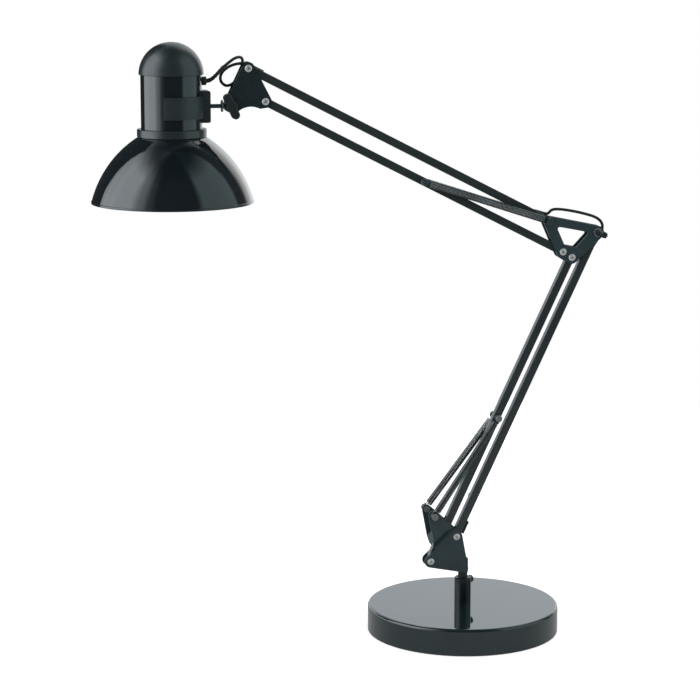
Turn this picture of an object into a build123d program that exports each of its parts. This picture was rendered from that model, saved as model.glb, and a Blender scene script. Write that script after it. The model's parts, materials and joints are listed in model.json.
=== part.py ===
from build123d import *
import math
import os

# Desk lamp with two spring-balanced parallelogram arms on a round weighted base.
# Millimetres. +Z is up, the arms fold in the X-Z plane and the shade hangs towards -X.
# The origin is the centre of the underside, on the surface that the lamp stands on.
# Near means the -Y side and far the +Y side.

# Fits
press_gap = 0.02
running_gap = 0.05
side_gap = 0.5
seat_gap = 0.1

# Base and post
base_diameter = 200.0
base_height = 28.2
base_edge_radius = 3.0
cover_wall = 1.6
cover_lift = 0.6
pad_thickness = 2.0
pad_edge_gap = 0.15
weight_thickness = 16.0
weight_edge_gap = 1.0
weight_chamfer = 2.0
socket_diameter = 17.4
socket_rise = 28.2
socket_chamfer = 0.8
socket_floor = 5.0
tail_diameter = 12.0
tail_below_nut = 1.0
nut_across_flats = 19.0
nut_thickness = 4.5
bush_wall = 1.3
stem_diameter = 10.0
stem_rise = 5.9

# Clamp screw in the side of the post
clamp_azimuth = 41.0
clamp_below_top = 5.4
clamp_shank = 3.0
clamp_head_diameter = 8.0
clamp_head_length = 5.5
clamp_head_gap = 1.0
clamp_tip_gap = 0.3
clamp_grooves = 10
clamp_groove_radius = 0.7

# Arms
arm_length = 350.0
bar_width = 8.2
bar_wall = 0.9
bar_corner = 0.9
insert_length = 9.0
lower_arm_angle = 64.9
upper_arm_angle = 152.8
lower_link_length = 37.4
lower_link_angle = 42.5
upper_link_length = 37.2
upper_link_angle = 117.2
stand_pivot = (-36.2, 76.1)
elbow_pivot_step = (-9.7, 6.0)
post_reach = 166.5
post_diameter = 4.6
post_overhang = 3.0

# Sheet-metal cheeks and their rivets
cheek_thickness = 1.5
rivet_diameter = 4.0
rivet_head_diameter = 7.2
rivet_head_height = 1.3
rivet_bore_diameter = 2.2
rivet_bore_depth = 2.0
stand_lobe_radius = 6.4
stand_foot_radius = 4.4
tongue_height = 15.0
tongue_width = 9.0
stem_pin_rises = (4.0, 11.0)
stand_waist = (6.6, 18.5)
stand_waist_radius = 5.0
joggle_start = 9.0
joggle_end = 17.0
flare_inside = 13.5
spring_stud_rise = 52.0
stud_lobe_radius = 4.8
stud_diameter = 4.6
stud_length = 7.6
stud_head_diameter = 7.0
stud_head_height = 1.2
elbow_lobe_radius = 6.8
elbow_corner_radius = 4.6
elbow_opening_radius = 2.0
opening_from_top_pivot = (9.6, -6.4)
opening_from_rear_pivot = (-9.0, 0.2)
opening_from_front_pivot = (4.4, 10.4)
opening_from_boom_pivot = (1.6, 6.9)
spring_pin_diameter = 4.6
spring_pin_reach = 15.0

# Friction knob at the elbow
bolt_diameter = 4.0
bolt_head_across_flats = 8.0
bolt_head_height = 3.0
knob_washer_diameter = 9.4
knob_washer_thickness = 1.6
knob_diameter = 6.6
knob_length = 21.5
knob_grip = 12.0
knob_grooves = 8
knob_groove_radius = 0.6

# Stop pad on the rear bar
stop_start = 5.5
stop_length = 14.0
stop_thickness = 2.6
stop_width = 8.0

# Springs
wire_diameter = 1.2
coil_mean_radius = 3.2
coil_turns = 24
hook_tail = 2.5
hook_lead = 6.0
hook_ramp = 2.5
hook_turn = 75.0

# Head bracket and tilt joint
tilt_pivot_step = (-34.77, -4.03)
head_lobe_radius = 6.4
head_waist_radius = 20.0
head_waist_depth = 3.4
tilt_bolt_diameter = 5.0
tilt_bolt_head = 8.0
tilt_bolt_head_height = 3.5
eye_radius = 6.0
wing_hub_radius = 5.6
wing_span = 27.0
wing_width = 8.4
wing_depth = 7.5
wing_angle = 114.8
wing_edge_radius = 1.4
wing_bolt_reach = 5.0
stem_rod_diameter = 4.2
rod_flange_diameter = 9.0
rod_flange_thickness = 1.6
disc_diameter = 12.0
disc_thickness = 1.2
disc_gap = 1.1

# Lamp head
head_reach = 58.5
rim_drop = 94.9
rim_radius = 81.0
rim_bead_radius = 1.3
shade_wall = 0.9
shade_height = 65.0
shade_neck_radius = 34.4
shade_bulge = 7.6
shade_flange_radius = 27.4
collar_radius = 34.6
collar_height = 8.3
collar_edge_radius = 1.2
housing_radius = 30.5
housing_wall = 1.2
housing_length = 63.3
housing_web = 1.6
cap_radius = 32.2
cap_skirt = 1.8
cap_wall = 1.8
cap_ledge = 2.2
cap_lip_radius = 0.8
clip_half_angle = 112.0
clip_thickness = 2.6
clip_height = 22.0
block_depth = 4.5
block_height = 31.5
block_width = 20.0
block_corner_radius = 2.0
holder_radius = 18.5
holder_length = 38.0
holder_mouth_depth = 27.0
nipple_radius = 5.0
nipple_length = 7.5
holder_nut_across_flats = 15.0
holder_nut_thickness = 4.0
bulb_cap_radius = 13.2
bulb_cap_length = 25.0
bulb_cap_pitch = 3.6
bulb_cap_groove = 0.7
bulb_radius = 29.5
bulb_neck_radius = 12.6
bulb_length = 79.0
bulb_glass_wall = 0.9

# Cord
cord_diameter = 3.0
cord_bend_share = 0.45
slot_width = 4.0
slot_reach = 22.0
slot_floor_above_pin = 0.1
relief_below_cap = 6.6
relief_neck_length = 8.9
relief_base_diameter = 9.0
relief_base_length = 5.0
relief_hole_diameter = 5.6
relief_foot_diameter = 5.2
relief_neck_diameter = 4.7
relief_tip_diameter = 4.2
exit_reach = 45.0
exit_diameter = 6.4
exit_flange_diameter = 8.4
exit_flange_thickness = 1.2
run_clearance = 0.1

# The points that the visible cord passes, as steps in X, Y and Z from the top bar's pivots
head_cord_steps = (
    (-24.5, -2.6, 1.5),
    (-16.9, -2.4, 6.8),
    (-9.1, -0.2, 10.7),
    (-3.3, 6.4, 10.1),
    (-2.9, 11.0, 3.1),
    (-6.5, 11.6, -6.1),
    (-13.3, 10.4, -14.3),
    (-21.5, 7.8, -16.3),
    (-26.9, 5.2, -10.7),
    (-25.9, 3.4, -3.5),
    (-18.9, 2.4, 1.5),
    (-10.5, 1.4, 5.1),
    (-1.9, 0.4, 5.3),
    (7.1, 0.0, 0.8),
    (15.9, 0.0, -3.9),
)
elbow_cord_steps = (
    (-12.2, 0.0, 10.0),
    (-1.0, 0.0, 6.7),
    (11.4, 0.0, 9.5),
    (27.4, 0.0, 9.1),
    (43.4, 0.0, 5.3),
    (54.8, 0.0, -1.1),
    (60.0, 0.0, -10.7),
    (56.8, 0.0, -20.9),
    (51.4, 0.0, -28.7),
)


def reach_from(origin, distance, angle):
    """A point of the X-Z plane, at a distance and an angle above +X from another."""
    turn = math.radians(angle)
    return (origin[0] + distance * math.cos(turn), origin[1] + distance * math.sin(turn))


def step_from(origin, step):
    """A point of the X-Z plane, moved by a step in X and Z."""
    return (origin[0] + step[0], origin[1] + step[1])


# Pivots of the two parallelograms, as X and Z
stand_rear_pivot = reach_from(stand_pivot, lower_link_length, lower_link_angle)
spring_stud = step_from(stand_pivot, (0, spring_stud_rise))
elbow_front_pivot = reach_from(stand_pivot, arm_length, lower_arm_angle)
elbow_rear_pivot = reach_from(stand_rear_pivot, arm_length, lower_arm_angle)
elbow_boom_pivot = step_from(elbow_front_pivot, elbow_pivot_step)
elbow_top_pivot = reach_from(elbow_boom_pivot, upper_link_length, upper_link_angle)
head_boom_pivot = reach_from(elbow_boom_pivot, arm_length, upper_arm_angle)
head_top_pivot = reach_from(elbow_top_pivot, arm_length, upper_arm_angle)
tilt_pivot = step_from(head_boom_pivot, tilt_pivot_step)
lower_post = reach_from(stand_pivot, post_reach, lower_arm_angle)
upper_post = reach_from(elbow_boom_pivot, post_reach, upper_arm_angle)

# Depths that follow from the bar and the cheeks
cheek_inside = bar_width / 2 + side_gap
cheek_outside = cheek_inside + cheek_thickness
flare_outside = flare_inside + cheek_thickness
channel = bar_width - 2 * bar_wall
spring_at_post = bar_width / 2 + coil_mean_radius + wire_diameter / 2 + side_gap
spring_at_stud = flare_outside + stud_length / 2
spring_at_pin = cheek_outside + (spring_pin_reach - cheek_outside) / 2

# Heights of the post and the head, which hangs from the tilt pivot
head_axis_x = tilt_pivot[0] - head_reach
rim_height = tilt_pivot[1] - rim_drop
socket_top = base_height + socket_rise
stem_top = socket_top + stem_rise
shade_top = rim_height + shade_height
housing_bottom = shade_top + seat_gap
housing_top = housing_bottom + housing_length
cap_bottom = housing_top - cap_skirt
clip_middle = tilt_pivot[1]
relief_height = cap_bottom - relief_below_cap


def route_from(pivot, steps):
    """A cord's points, from their steps to a pivot of the X-Z plane."""
    return [(pivot[0] + step[0], step[1], pivot[1] + step[2]) for step in steps]


head_cord_route = route_from(head_top_pivot, head_cord_steps)
elbow_cord_route = route_from(elbow_top_pivot, elbow_cord_steps)


def depth_plane(depth):
    """A drawing plane with X across and Z up, at one Y, that faces the near side."""
    return Plane.XZ.offset(-depth)


def bar_plane(pivot, angle):
    """A drawing plane with its x along a bar from its pivot, facing the near side."""
    turn = math.radians(angle)
    along = (math.cos(turn), 0, math.sin(turn))
    return Plane(origin=(pivot[0], 0, pivot[1]), x_dir=along, z_dir=(0, -1, 0))


def cross_axis(point):
    """The line along Y through a point of the X-Z plane."""
    return Axis((point[0], 0, point[1]), (0, 1, 0))


def radius_plane(point):
    """A drawing plane with its x away from, and its y along, a line in Y."""
    return Plane(origin=(point[0], 0, point[1]), x_dir=(1, 0, 0), z_dir=(0, 0, 1))


head_axis = Axis((head_axis_x, 0, 0), (0, 0, 1))
head_plane = Plane(origin=(head_axis_x, 0, 0), x_dir=(1, 0, 0), z_dir=(0, -1, 0))


def bar_tube(pivot, angle, slots=()):
    """A square tube with rounded ends, drilled for its pins, with cord slots at some ends."""
    plane = bar_plane(pivot, angle)
    along = plane.x_dir
    pin_hole = rivet_diameter / 2 + 2 * running_gap
    with BuildPart() as bar:
        with BuildSketch(plane):
            with Locations((arm_length / 2, 0)):
                SlotCenterToCenter(arm_length, bar_width)
        extrude(amount=bar_width / 2, both=True)
        long_edges = bar.edges().filter_by(lambda e: abs(e.length - arm_length) < arm_length / 100)
        fillet(long_edges, bar_corner)
        with BuildSketch(plane):
            with Locations((arm_length / 2, 0)):
                Rectangle(arm_length + 2 * bar_width, channel)
        extrude(amount=channel / 2, both=True, mode=Mode.SUBTRACT)
        with BuildSketch(plane):
            with Locations((0, 0), (arm_length, 0)):
                Circle(pin_hole)
        extrude(amount=bar_width, both=True, mode=Mode.SUBTRACT)
        for end, side in slots:
            middle = Vector(pivot[0], 0, pivot[1]) + along * end
            face = Plane(origin=middle, x_dir=along, z_dir=plane.y_dir * side)
            with BuildSketch(face):
                SlotCenterToCenter(2 * slot_reach, slot_width)
            extrude(amount=bar_width, mode=Mode.SUBTRACT)
    return bar


def end_inserts(pivot, angle, slots=()):
    """Two plastic bearings that fill a bar's ends and run on its pins."""
    plane = bar_plane(pivot, angle)
    half = channel / 2 - press_gap
    bore = rivet_diameter / 2 + running_gap
    notch_floor = bore + slot_floor_above_pin
    with BuildPart() as inserts:
        with BuildSketch(plane):
            for end, inward in ((0, 1), (arm_length, -1)):
                with Locations((end, 0)):
                    Circle(half)
                with Locations((end + inward * insert_length / 2, 0)):
                    Rectangle(insert_length, 2 * half)
        extrude(amount=half, both=True)
        with BuildSketch(plane):
            with Locations((0, 0), (arm_length, 0)):
                Circle(bore)
        extrude(amount=bar_width, both=True, mode=Mode.SUBTRACT)
        for end, side in slots:
            with BuildSketch(plane):
                with Locations((end, side * (notch_floor + bar_width / 2))):
                    Rectangle(4 * insert_length, bar_width)
            extrude(amount=slot_width / 2, both=True, mode=Mode.SUBTRACT)
    return inserts


def headed_pin(point, shank, head, reach, head_height, bore_depth=0.0):
    """A pin along Y with a head at each end, hollow at its near end if it has a bore."""
    tip = reach + head_height
    bore = rivet_bore_diameter / 2
    with BuildPart() as pin:
        with BuildSketch(radius_plane(point)):
            with BuildLine():
                Polyline(
                    (0, -tip),
                    (head * 0.35, -tip),
                    (head / 2, -tip + head_height * 0.5),
                    (head / 2, -reach),
                    (shank / 2, -reach),
                    (shank / 2, reach),
                    (head / 2, reach),
                    (head / 2, tip - head_height * 0.5),
                    (head * 0.35, tip),
                    (0, tip),
                    close=True,
                )
            make_face()
        revolve(axis=cross_axis(point))
        if bore_depth > 0:
            with BuildSketch(depth_plane(-tip + bore_depth)):
                with Locations(point):
                    Circle(bore)
            extrude(amount=bore_depth, mode=Mode.SUBTRACT)
    return pin


def rivet(point):
    """A tubular rivet that holds two cheeks together through a bar."""
    return headed_pin(
        point, rivet_diameter, rivet_head_diameter, cheek_outside, rivet_head_height, rivet_bore_depth
    )


def biarc_joint(start, leaving, end, arriving):
    """The point where two arcs meet that join two points along their directions."""
    span = end - start
    along = span.dot(leaving + arriving)
    bend = 2 * (1 - leaving.dot(arriving))
    reach = (math.sqrt(along**2 + bend * span.dot(span)) - along) / bend
    return (start + leaving * reach + end - arriving * reach) * 0.5


def spring_stations(start, end):
    """Points and directions along a spring's wire: hook, coil in quarter turns, hook."""
    along = (end - start).normalized()
    across = along.cross(Vector(0, 1, 0)).normalized()
    aside = along.cross(across).normalized()
    length = (end - start).length
    mean = coil_mean_radius

    def station(place, direction):
        point = start + along * place[0] + across * place[1] + aside * place[2]
        way = along * direction[0] + across * direction[1] + aside * direction[2]
        return (point, way.normalized())

    stations = [
        station((hook_tail, -mean, 0), (-1, 0, 0)),
        station((0, -mean, 0), (-1, 0, 0)),
        station((0, mean, 0), (1, 0, 0)),
        station((hook_lead - hook_ramp, mean, 0), (1, 0, 0)),
    ]
    coil_angle = coil_turns * 360 + 180 - 2 * hook_turn
    coil_length = length - 2 * hook_lead
    rise = coil_length / math.radians(coil_angle)
    quarters = round(coil_angle / 90)
    for quarter in range(quarters + 1):
        share = quarter / quarters
        turn = math.radians(hook_turn + coil_angle * share)
        place = (hook_lead + coil_length * share, mean * math.cos(turn), mean * math.sin(turn))
        stations.append(station(place, (rise, -mean * math.sin(turn), mean * math.cos(turn))))
    stations += [
        station((length - hook_lead + hook_ramp, -mean, 0), (1, 0, 0)),
        station((length, -mean, 0), (1, 0, 0)),
        station((length, mean, 0), (-1, 0, 0)),
        station((length - hook_tail, mean, 0), (-1, 0, 0)),
    ]
    return stations


def tension_spring(name, start, end):
    """An open-wound tension spring with a hook at each end, one unbroken wire."""
    stations = spring_stations(Vector(*start), Vector(*end))
    with BuildPart() as spring:
        with BuildLine() as path:
            for (here, leaving), (there, arriving) in zip(stations, stations[1:]):
                if leaving.dot(arriving) > 1 - 1e-9:
                    Line(here, there)
                else:
                    joint = biarc_joint(here, leaving, there, arriving)
                    first = TangentArc(here, joint, tangent=leaving)
                    TangentArc(joint, there, tangent=first % 1)
        with BuildSketch(Plane(origin=stations[0][0], z_dir=stations[0][1])):
            Circle(wire_diameter / 2)
        sweep(path=path.wires()[0])
    print(f"{name}: least gap between curls {least_gap(path.wires()[0]):.2f} mm")
    return spring


def least_gap(wire):
    """The smallest clear distance between stretches of a wire that aren't neighbours."""
    count = 600
    points = [wire.position_at(i / count) for i in range(count + 1)]
    step = wire.length / count
    apart = round(4 * coil_mean_radius / step)
    nearest = min(
        (points[i] - points[j]).length for i in range(count + 1) for j in range(i + apart, count + 1)
    )
    return nearest - wire_diameter


def bend_radii(route):
    """The radius of each bend of a cord's route, as large as its two runs allow."""
    points = [Vector(*point) for point in route]
    radii = []
    for before, corner, after in zip(points, points[1:], points[2:]):
        shorter = min((corner - before).length, (after - corner).length)
        turn = math.radians((corner - before).get_angle(after - corner))
        radii.append(cord_bend_share * shorter / math.tan(turn / 2))
    return radii


def cord_tube(name, route):
    """A round cord along straight runs joined by tangent arcs."""
    radii = bend_radii(route)
    with BuildPart() as cord:
        with BuildLine() as path:
            FilletPolyline(*route, radius=radii)
        start = path.wires()[0]
        with BuildSketch(Plane(origin=start @ 0, z_dir=start % 0)):
            Circle(cord_diameter / 2)
        sweep(path=start)
    ideal = math.pi * cord_diameter**2 / 4 * start.length
    print(f"{name}: length {start.length:.1f} mm, volume {cord.part.volume / ideal:.4f} of its section")
    print(f"{name}: bend radii {[round(radius, 1) for radius in radii]}")
    return cord


def group_of(parts):
    """Separate solids kept together as one piece."""
    with BuildPart() as group:
        for part in parts:
            add(part.part)
    return group


# Base: a pressed cover over an iron weight, closed by a felt pad
base_radius = base_diameter / 2
cover_inside = base_radius - cover_wall
weight_top = base_height - cover_wall
weight_bottom = weight_top - weight_thickness
tail_hole = tail_diameter / 2 + press_gap

with BuildPart() as base_cover:
    with BuildSketch(Plane.XY.offset(cover_lift)):
        Circle(base_radius)
    extrude(amount=base_height - cover_lift)
    rims = base_cover.edges().filter_by(GeomType.CIRCLE).sort_by(Axis.Z)
    fillet(rims[-1], base_edge_radius)
    offset(amount=-cover_wall, openings=base_cover.faces().sort_by(Axis.Z)[0])
    with BuildSketch(Plane.XY.offset(weight_top)):
        Circle(tail_hole)
    extrude(amount=2 * cover_wall, mode=Mode.SUBTRACT)

with BuildPart() as base_weight:
    with BuildSketch(Plane.XY.offset(weight_bottom)):
        Circle(cover_inside - weight_edge_gap)
        Circle(tail_hole, mode=Mode.SUBTRACT)
    extrude(amount=weight_thickness)
    outer_rims = base_weight.edges().filter_by(GeomType.CIRCLE).sort_by(SortBy.RADIUS)[-2:]
    chamfer(outer_rims, weight_chamfer)

with BuildPart() as base_pad:
    with BuildSketch(Plane.XY):
        Circle(cover_inside - pad_edge_gap)
    extrude(amount=pad_thickness)

# Post: a turned socket with a plastic bush, held by a nut under the weight
stem_bore = stem_diameter / 2 + running_gap
bush_radius = stem_bore + bush_wall
bush_bottom = base_height + socket_floor
nut_top = weight_bottom
tail_bottom = nut_top - nut_thickness - tail_below_nut
clamp_height = socket_top - clamp_below_top
clamp_plane = Plane(
    origin=(0, 0, clamp_height),
    x_dir=(0, 0, 1),
    z_dir=(math.cos(math.radians(clamp_azimuth)), math.sin(math.radians(clamp_azimuth)), 0),
)
clamp_bore = clamp_shank / 2 + running_gap

with BuildPart() as post_socket:
    with BuildSketch(Plane.XY.offset(base_height)):
        Circle(socket_diameter / 2)
    extrude(amount=socket_rise)
    chamfer(post_socket.edges().filter_by(GeomType.CIRCLE).sort_by(Axis.Z)[-1], socket_chamfer)
    with BuildSketch(Plane.XY.offset(tail_bottom)):
        Circle(tail_diameter / 2)
    extrude(amount=base_height - tail_bottom)
    with BuildSketch(Plane.XY.offset(bush_bottom)):
        Circle(bush_radius + press_gap)
    extrude(amount=socket_rise, mode=Mode.SUBTRACT)
    with BuildSketch(clamp_plane):
        Circle(clamp_bore)
    extrude(amount=socket_diameter, mode=Mode.SUBTRACT)

with BuildPart() as socket_bush:
    with BuildSketch(Plane.XY.offset(bush_bottom)):
        Circle(bush_radius)
        Circle(stem_bore, mode=Mode.SUBTRACT)
    extrude(amount=socket_top - bush_bottom)
    with BuildSketch(clamp_plane):
        Circle(clamp_bore)
    extrude(amount=socket_diameter, mode=Mode.SUBTRACT)

with BuildPart() as socket_nut:
    with BuildSketch(Plane.XY.offset(nut_top - nut_thickness)):
        RegularPolygon(nut_across_flats / 2, 6, major_radius=False)
        Circle(tail_hole, mode=Mode.SUBTRACT)
    extrude(amount=nut_thickness)

clamp_head_start = socket_diameter / 2 + clamp_head_gap
with BuildPart() as clamp_screw:
    with BuildSketch(clamp_plane.offset(stem_diameter / 2 + clamp_tip_gap)):
        Circle(clamp_shank / 2)
    extrude(amount=clamp_head_start - stem_diameter / 2 - clamp_tip_gap)
    with BuildSketch(clamp_plane.offset(clamp_head_start)):
        Circle(clamp_head_diameter / 2)
        with PolarLocations(clamp_head_diameter / 2, clamp_grooves):
            Circle(clamp_groove_radius, mode=Mode.SUBTRACT)
    extrude(amount=clamp_head_length)

# Stand: the turning stem and two cheeks that flare out round the arm to carry the springs
tongue_bottom = stem_top
stand_foot = (0.0, stem_top + stand_foot_radius)
stem_pin_places = [(0.0, stem_top + rise) for rise in stem_pin_rises]
link_plane = Plane(
    origin=(stand_pivot[0], 0, stand_pivot[1]),
    x_dir=(-math.sin(math.radians(lower_link_angle)), 0, math.cos(math.radians(lower_link_angle))),
    z_dir=(math.cos(math.radians(lower_link_angle)), 0, math.sin(math.radians(lower_link_angle))),
)
stem_hole = rivet_diameter / 2 + press_gap

with BuildPart() as swivel_stem:
    with BuildSketch(Plane.XY.offset(bush_bottom + seat_gap)):
        Circle(stem_diameter / 2)
    extrude(amount=tongue_bottom - bush_bottom - seat_gap)
    with BuildSketch(depth_plane(cheek_inside)):
        with Locations((0, tongue_bottom + tongue_height / 2)):
            Rectangle(tongue_width, tongue_height)
    extrude(amount=2 * cheek_inside)
    with BuildSketch(depth_plane(cheek_inside)):
        with Locations(*stem_pin_places):
            Circle(stem_hole)
    extrude(amount=2 * cheek_inside, mode=Mode.SUBTRACT)


def stand_outline():
    """The side view of a stand cheek: its plate and the arm that carries a spring stud."""
    foot_edge = tongue_width / 2 - stand_foot_radius
    with BuildSketch() as outline:
        with BuildSketch(mode=Mode.PRIVATE) as plate:
            with Locations(stand_pivot, stand_rear_pivot):
                Circle(stand_lobe_radius)
            with Locations((-foot_edge, stand_foot[1]), (foot_edge, stand_foot[1])):
                Circle(stand_foot_radius)
        with BuildSketch(mode=Mode.PRIVATE) as arm:
            with Locations(step_from(stand_pivot, stand_waist)):
                Circle(stand_waist_radius)
            with Locations(stand_rear_pivot):
                Circle(stand_lobe_radius)
            with Locations(spring_stud):
                Circle(stud_lobe_radius)
        make_hull(plate.sketch.edges())
        make_hull(arm.sketch.edges())
    return outline.sketch


stand_profile = stand_outline()
sheet_reach = 2 * spring_stud_rise
with BuildPart() as stand_cheek_near:
    with BuildSketch(link_plane):
        with BuildLine():
            Polyline(
                (-sheet_reach, cheek_inside),
                (joggle_start, cheek_inside),
                (joggle_end, flare_inside),
                (sheet_reach, flare_inside),
                (sheet_reach, flare_outside),
                (joggle_end - cheek_thickness / 2, flare_outside),
                (joggle_start - cheek_thickness / 2, cheek_outside),
                (-sheet_reach, cheek_outside),
                close=True,
            )
        make_face()
    extrude(amount=sheet_reach, both=True)
    with BuildSketch(Plane.XZ):
        add(stand_profile)
    extrude(amount=2 * flare_outside, both=True, mode=Mode.INTERSECT)
    with BuildSketch(Plane.XZ):
        with Locations(stand_pivot, stand_rear_pivot, *stem_pin_places):
            Circle(stem_hole)
        with Locations(spring_stud):
            Circle(stud_diameter / 2 + press_gap)
    extrude(amount=2 * flare_outside, both=True, mode=Mode.SUBTRACT)

with BuildPart() as stand_cheek_far:
    add(mirror(stand_cheek_near.part, about=Plane.XZ, mode=Mode.PRIVATE))

stand_rivets = group_of([rivet(point) for point in (stand_pivot, stand_rear_pivot)])

with BuildPart() as stem_pins:
    with BuildSketch(depth_plane(cheek_outside)):
        with Locations(*stem_pin_places):
            Circle(rivet_diameter / 2)
    extrude(amount=2 * cheek_outside)


def spring_stud_on(side):
    """A headed stud on the outside of one flared cheek."""
    collar = stud_diameter / 2
    head = stud_head_diameter / 2
    inner = flare_inside - stud_head_height
    neck = flare_outside + stud_length
    with BuildPart() as stud:
        with BuildSketch(radius_plane(spring_stud)):
            with BuildLine():
                Polyline(
                    (0, side * inner),
                    (head, side * inner),
                    (head, side * flare_inside),
                    (collar, side * flare_inside),
                    (collar, side * neck),
                    (head, side * neck),
                    (head, side * (neck + stud_head_height)),
                    (0, side * (neck + stud_head_height)),
                    close=True,
                )
            make_face()
        revolve(axis=cross_axis(spring_stud))
    return stud


stand_spring_studs = group_of([spring_stud_on(side) for side in (-1, 1)])

# Bars, four alike and two to each arm, with cord slots that face up and back
top_bar_slots = ((0, -1), (arm_length, -1))
rear_bar_slots = ((arm_length, -1),)
bar_places = {
    "lower_front": (stand_pivot, lower_arm_angle, ()),
    "lower_rear": (stand_rear_pivot, lower_arm_angle, rear_bar_slots),
    "upper_boom": (elbow_boom_pivot, upper_arm_angle, ()),
    "upper_top": (elbow_top_pivot, upper_arm_angle, top_bar_slots),
}
bars = {name: bar_tube(*place) for name, place in bar_places.items()}
inserts = {name: end_inserts(*place) for name, place in bar_places.items()}


def drilled_for_post(bar, post):
    """A bar with the hole for the pin that its springs hook on."""
    with BuildPart() as drilled:
        add(bar.part)
        with BuildSketch(Plane.XZ):
            with Locations(post):
                Circle(post_diameter / 2 + press_gap)
        extrude(amount=bar_width, both=True, mode=Mode.SUBTRACT)
    return drilled


bars["lower_front"] = drilled_for_post(bars["lower_front"], lower_post)
bars["upper_boom"] = drilled_for_post(bars["upper_boom"], upper_post)
post_span = spring_at_post + post_overhang
lower_spring_post = headed_pin(lower_post, post_diameter, rivet_head_diameter, post_span, rivet_head_height)
upper_spring_post = headed_pin(upper_post, post_diameter, rivet_head_diameter, post_span, rivet_head_height)

rear_plane = bar_plane(stand_rear_pivot, lower_arm_angle)
exit_place = reach_from(stand_rear_pivot, exit_reach, lower_arm_angle)
with BuildPart() as lower_rear_bar:
    add(bars["lower_rear"].part)
    with BuildSketch(depth_plane(bar_width)):
        with Locations(exit_place):
            Circle(exit_diameter / 2 + press_gap)
    extrude(amount=bar_width, mode=Mode.SUBTRACT)
bars["lower_rear"] = lower_rear_bar

with BuildPart() as rear_bar_stop:
    with BuildSketch(rear_plane):
        with Locations((stop_start + stop_length / 2, -(bar_width + stop_thickness) / 2)):
            Rectangle(stop_length, stop_thickness)
    extrude(amount=stop_width / 2, both=True)
    outer_edges = rear_bar_stop.faces().sort_by(Axis((0, 0, 0), -rear_plane.y_dir))[-1].edges()
    fillet(outer_edges, stop_thickness * 0.45)

with BuildPart() as cord_exit_grommet:
    with BuildSketch(depth_plane(bar_width / 2)):
        with Locations(exit_place):
            Circle(exit_diameter / 2)
    extrude(amount=bar_wall)
    with BuildSketch(depth_plane(bar_width / 2 + exit_flange_thickness)):
        with Locations(exit_place):
            Circle(exit_flange_diameter / 2)
    extrude(amount=exit_flange_thickness)
    with BuildSketch(depth_plane(bar_width)):
        with Locations(exit_place):
            Circle(cord_diameter / 2)
    extrude(amount=bar_width, mode=Mode.SUBTRACT)


def inner_cord(pivot, angle, first, last, side):
    """The straight run of cord that lies on the inside of a bar."""
    plane = bar_plane(pivot, angle)
    lift = side * (channel / 2 - cord_diameter / 2 - run_clearance)
    start = plane.from_local_coords(Vector(first, lift, 0))
    with BuildPart() as run:
        with BuildSketch(Plane(origin=start, z_dir=plane.x_dir)):
            Circle(cord_diameter / 2)
        extrude(amount=last - first)
    return run


run_margin = slot_reach + cord_diameter
lower_cord_run = inner_cord(stand_rear_pivot, lower_arm_angle, exit_reach, arm_length - run_margin, -1)
upper_cord_run = inner_cord(elbow_top_pivot, upper_arm_angle, run_margin, arm_length - run_margin, 1)


# Elbow: two pierced cheeks that carry both arms, the spring pin and a friction knob
def elbow_cheek(inside):
    """One elbow cheek: a plate round four pivots with a window in its middle."""
    lobes = (elbow_front_pivot, elbow_rear_pivot, elbow_boom_pivot)
    window = (
        step_from(elbow_top_pivot, opening_from_top_pivot),
        step_from(elbow_rear_pivot, opening_from_rear_pivot),
        step_from(elbow_front_pivot, opening_from_front_pivot),
        step_from(elbow_boom_pivot, opening_from_boom_pivot),
    )
    with BuildPart() as cheek:
        with BuildSketch(depth_plane(inside)):
            with BuildSketch(mode=Mode.PRIVATE) as corners:
                with Locations(*lobes):
                    Circle(elbow_lobe_radius)
                with Locations(elbow_top_pivot):
                    Circle(elbow_corner_radius)
            make_hull(corners.sketch.edges())
            with BuildSketch(mode=Mode.PRIVATE) as opening:
                with BuildLine():
                    Polyline(*window, close=True)
                make_face()
                fillet(opening.vertices(), elbow_opening_radius)
            add(opening.sketch, mode=Mode.SUBTRACT)
            with Locations(*lobes):
                Circle(stem_hole, mode=Mode.SUBTRACT)
            with Locations(elbow_top_pivot):
                Circle(spring_pin_diameter / 2 + press_gap, mode=Mode.SUBTRACT)
        extrude(amount=cheek_thickness)
    return cheek


elbow_cheek_near = elbow_cheek(-cheek_inside)
elbow_cheek_far = elbow_cheek(cheek_outside)
elbow_rivets = group_of([rivet(point) for point in (elbow_front_pivot, elbow_boom_pivot)])
knob_start = cheek_outside + knob_washer_thickness


def stepped_spring_pin():
    """The top bar's pivot, thicker outside the cheeks where the springs hook on."""
    neck = rivet_diameter / 2
    collar = spring_pin_diameter / 2
    head = rivet_head_diameter / 2
    tip = spring_pin_reach + rivet_head_height
    with BuildPart() as pin:
        with BuildSketch(radius_plane(elbow_top_pivot)):
            with BuildLine():
                Polyline(
                    (0, -tip),
                    (head, -tip),
                    (head, -spring_pin_reach),
                    (collar, -spring_pin_reach),
                    (collar, -cheek_inside),
                    (neck, -cheek_inside),
                    (neck, cheek_inside),
                    (collar, cheek_inside),
                    (collar, spring_pin_reach),
                    (head, spring_pin_reach),
                    (head, tip),
                    (0, tip),
                    close=True,
                )
            make_face()
        revolve(axis=cross_axis(elbow_top_pivot))
    return pin


elbow_spring_pin = stepped_spring_pin()

with BuildPart() as elbow_bolt:
    with BuildSketch(depth_plane(cheek_outside)):
        with Locations(elbow_rear_pivot):
            Circle(bolt_diameter / 2)
    extrude(amount=cheek_outside + knob_start + knob_grip)
    with BuildSketch(depth_plane(cheek_outside + bolt_head_height)):
        with Locations(elbow_rear_pivot):
            RegularPolygon(bolt_head_across_flats / 2, 6, major_radius=False)
    extrude(amount=bolt_head_height)

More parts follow.
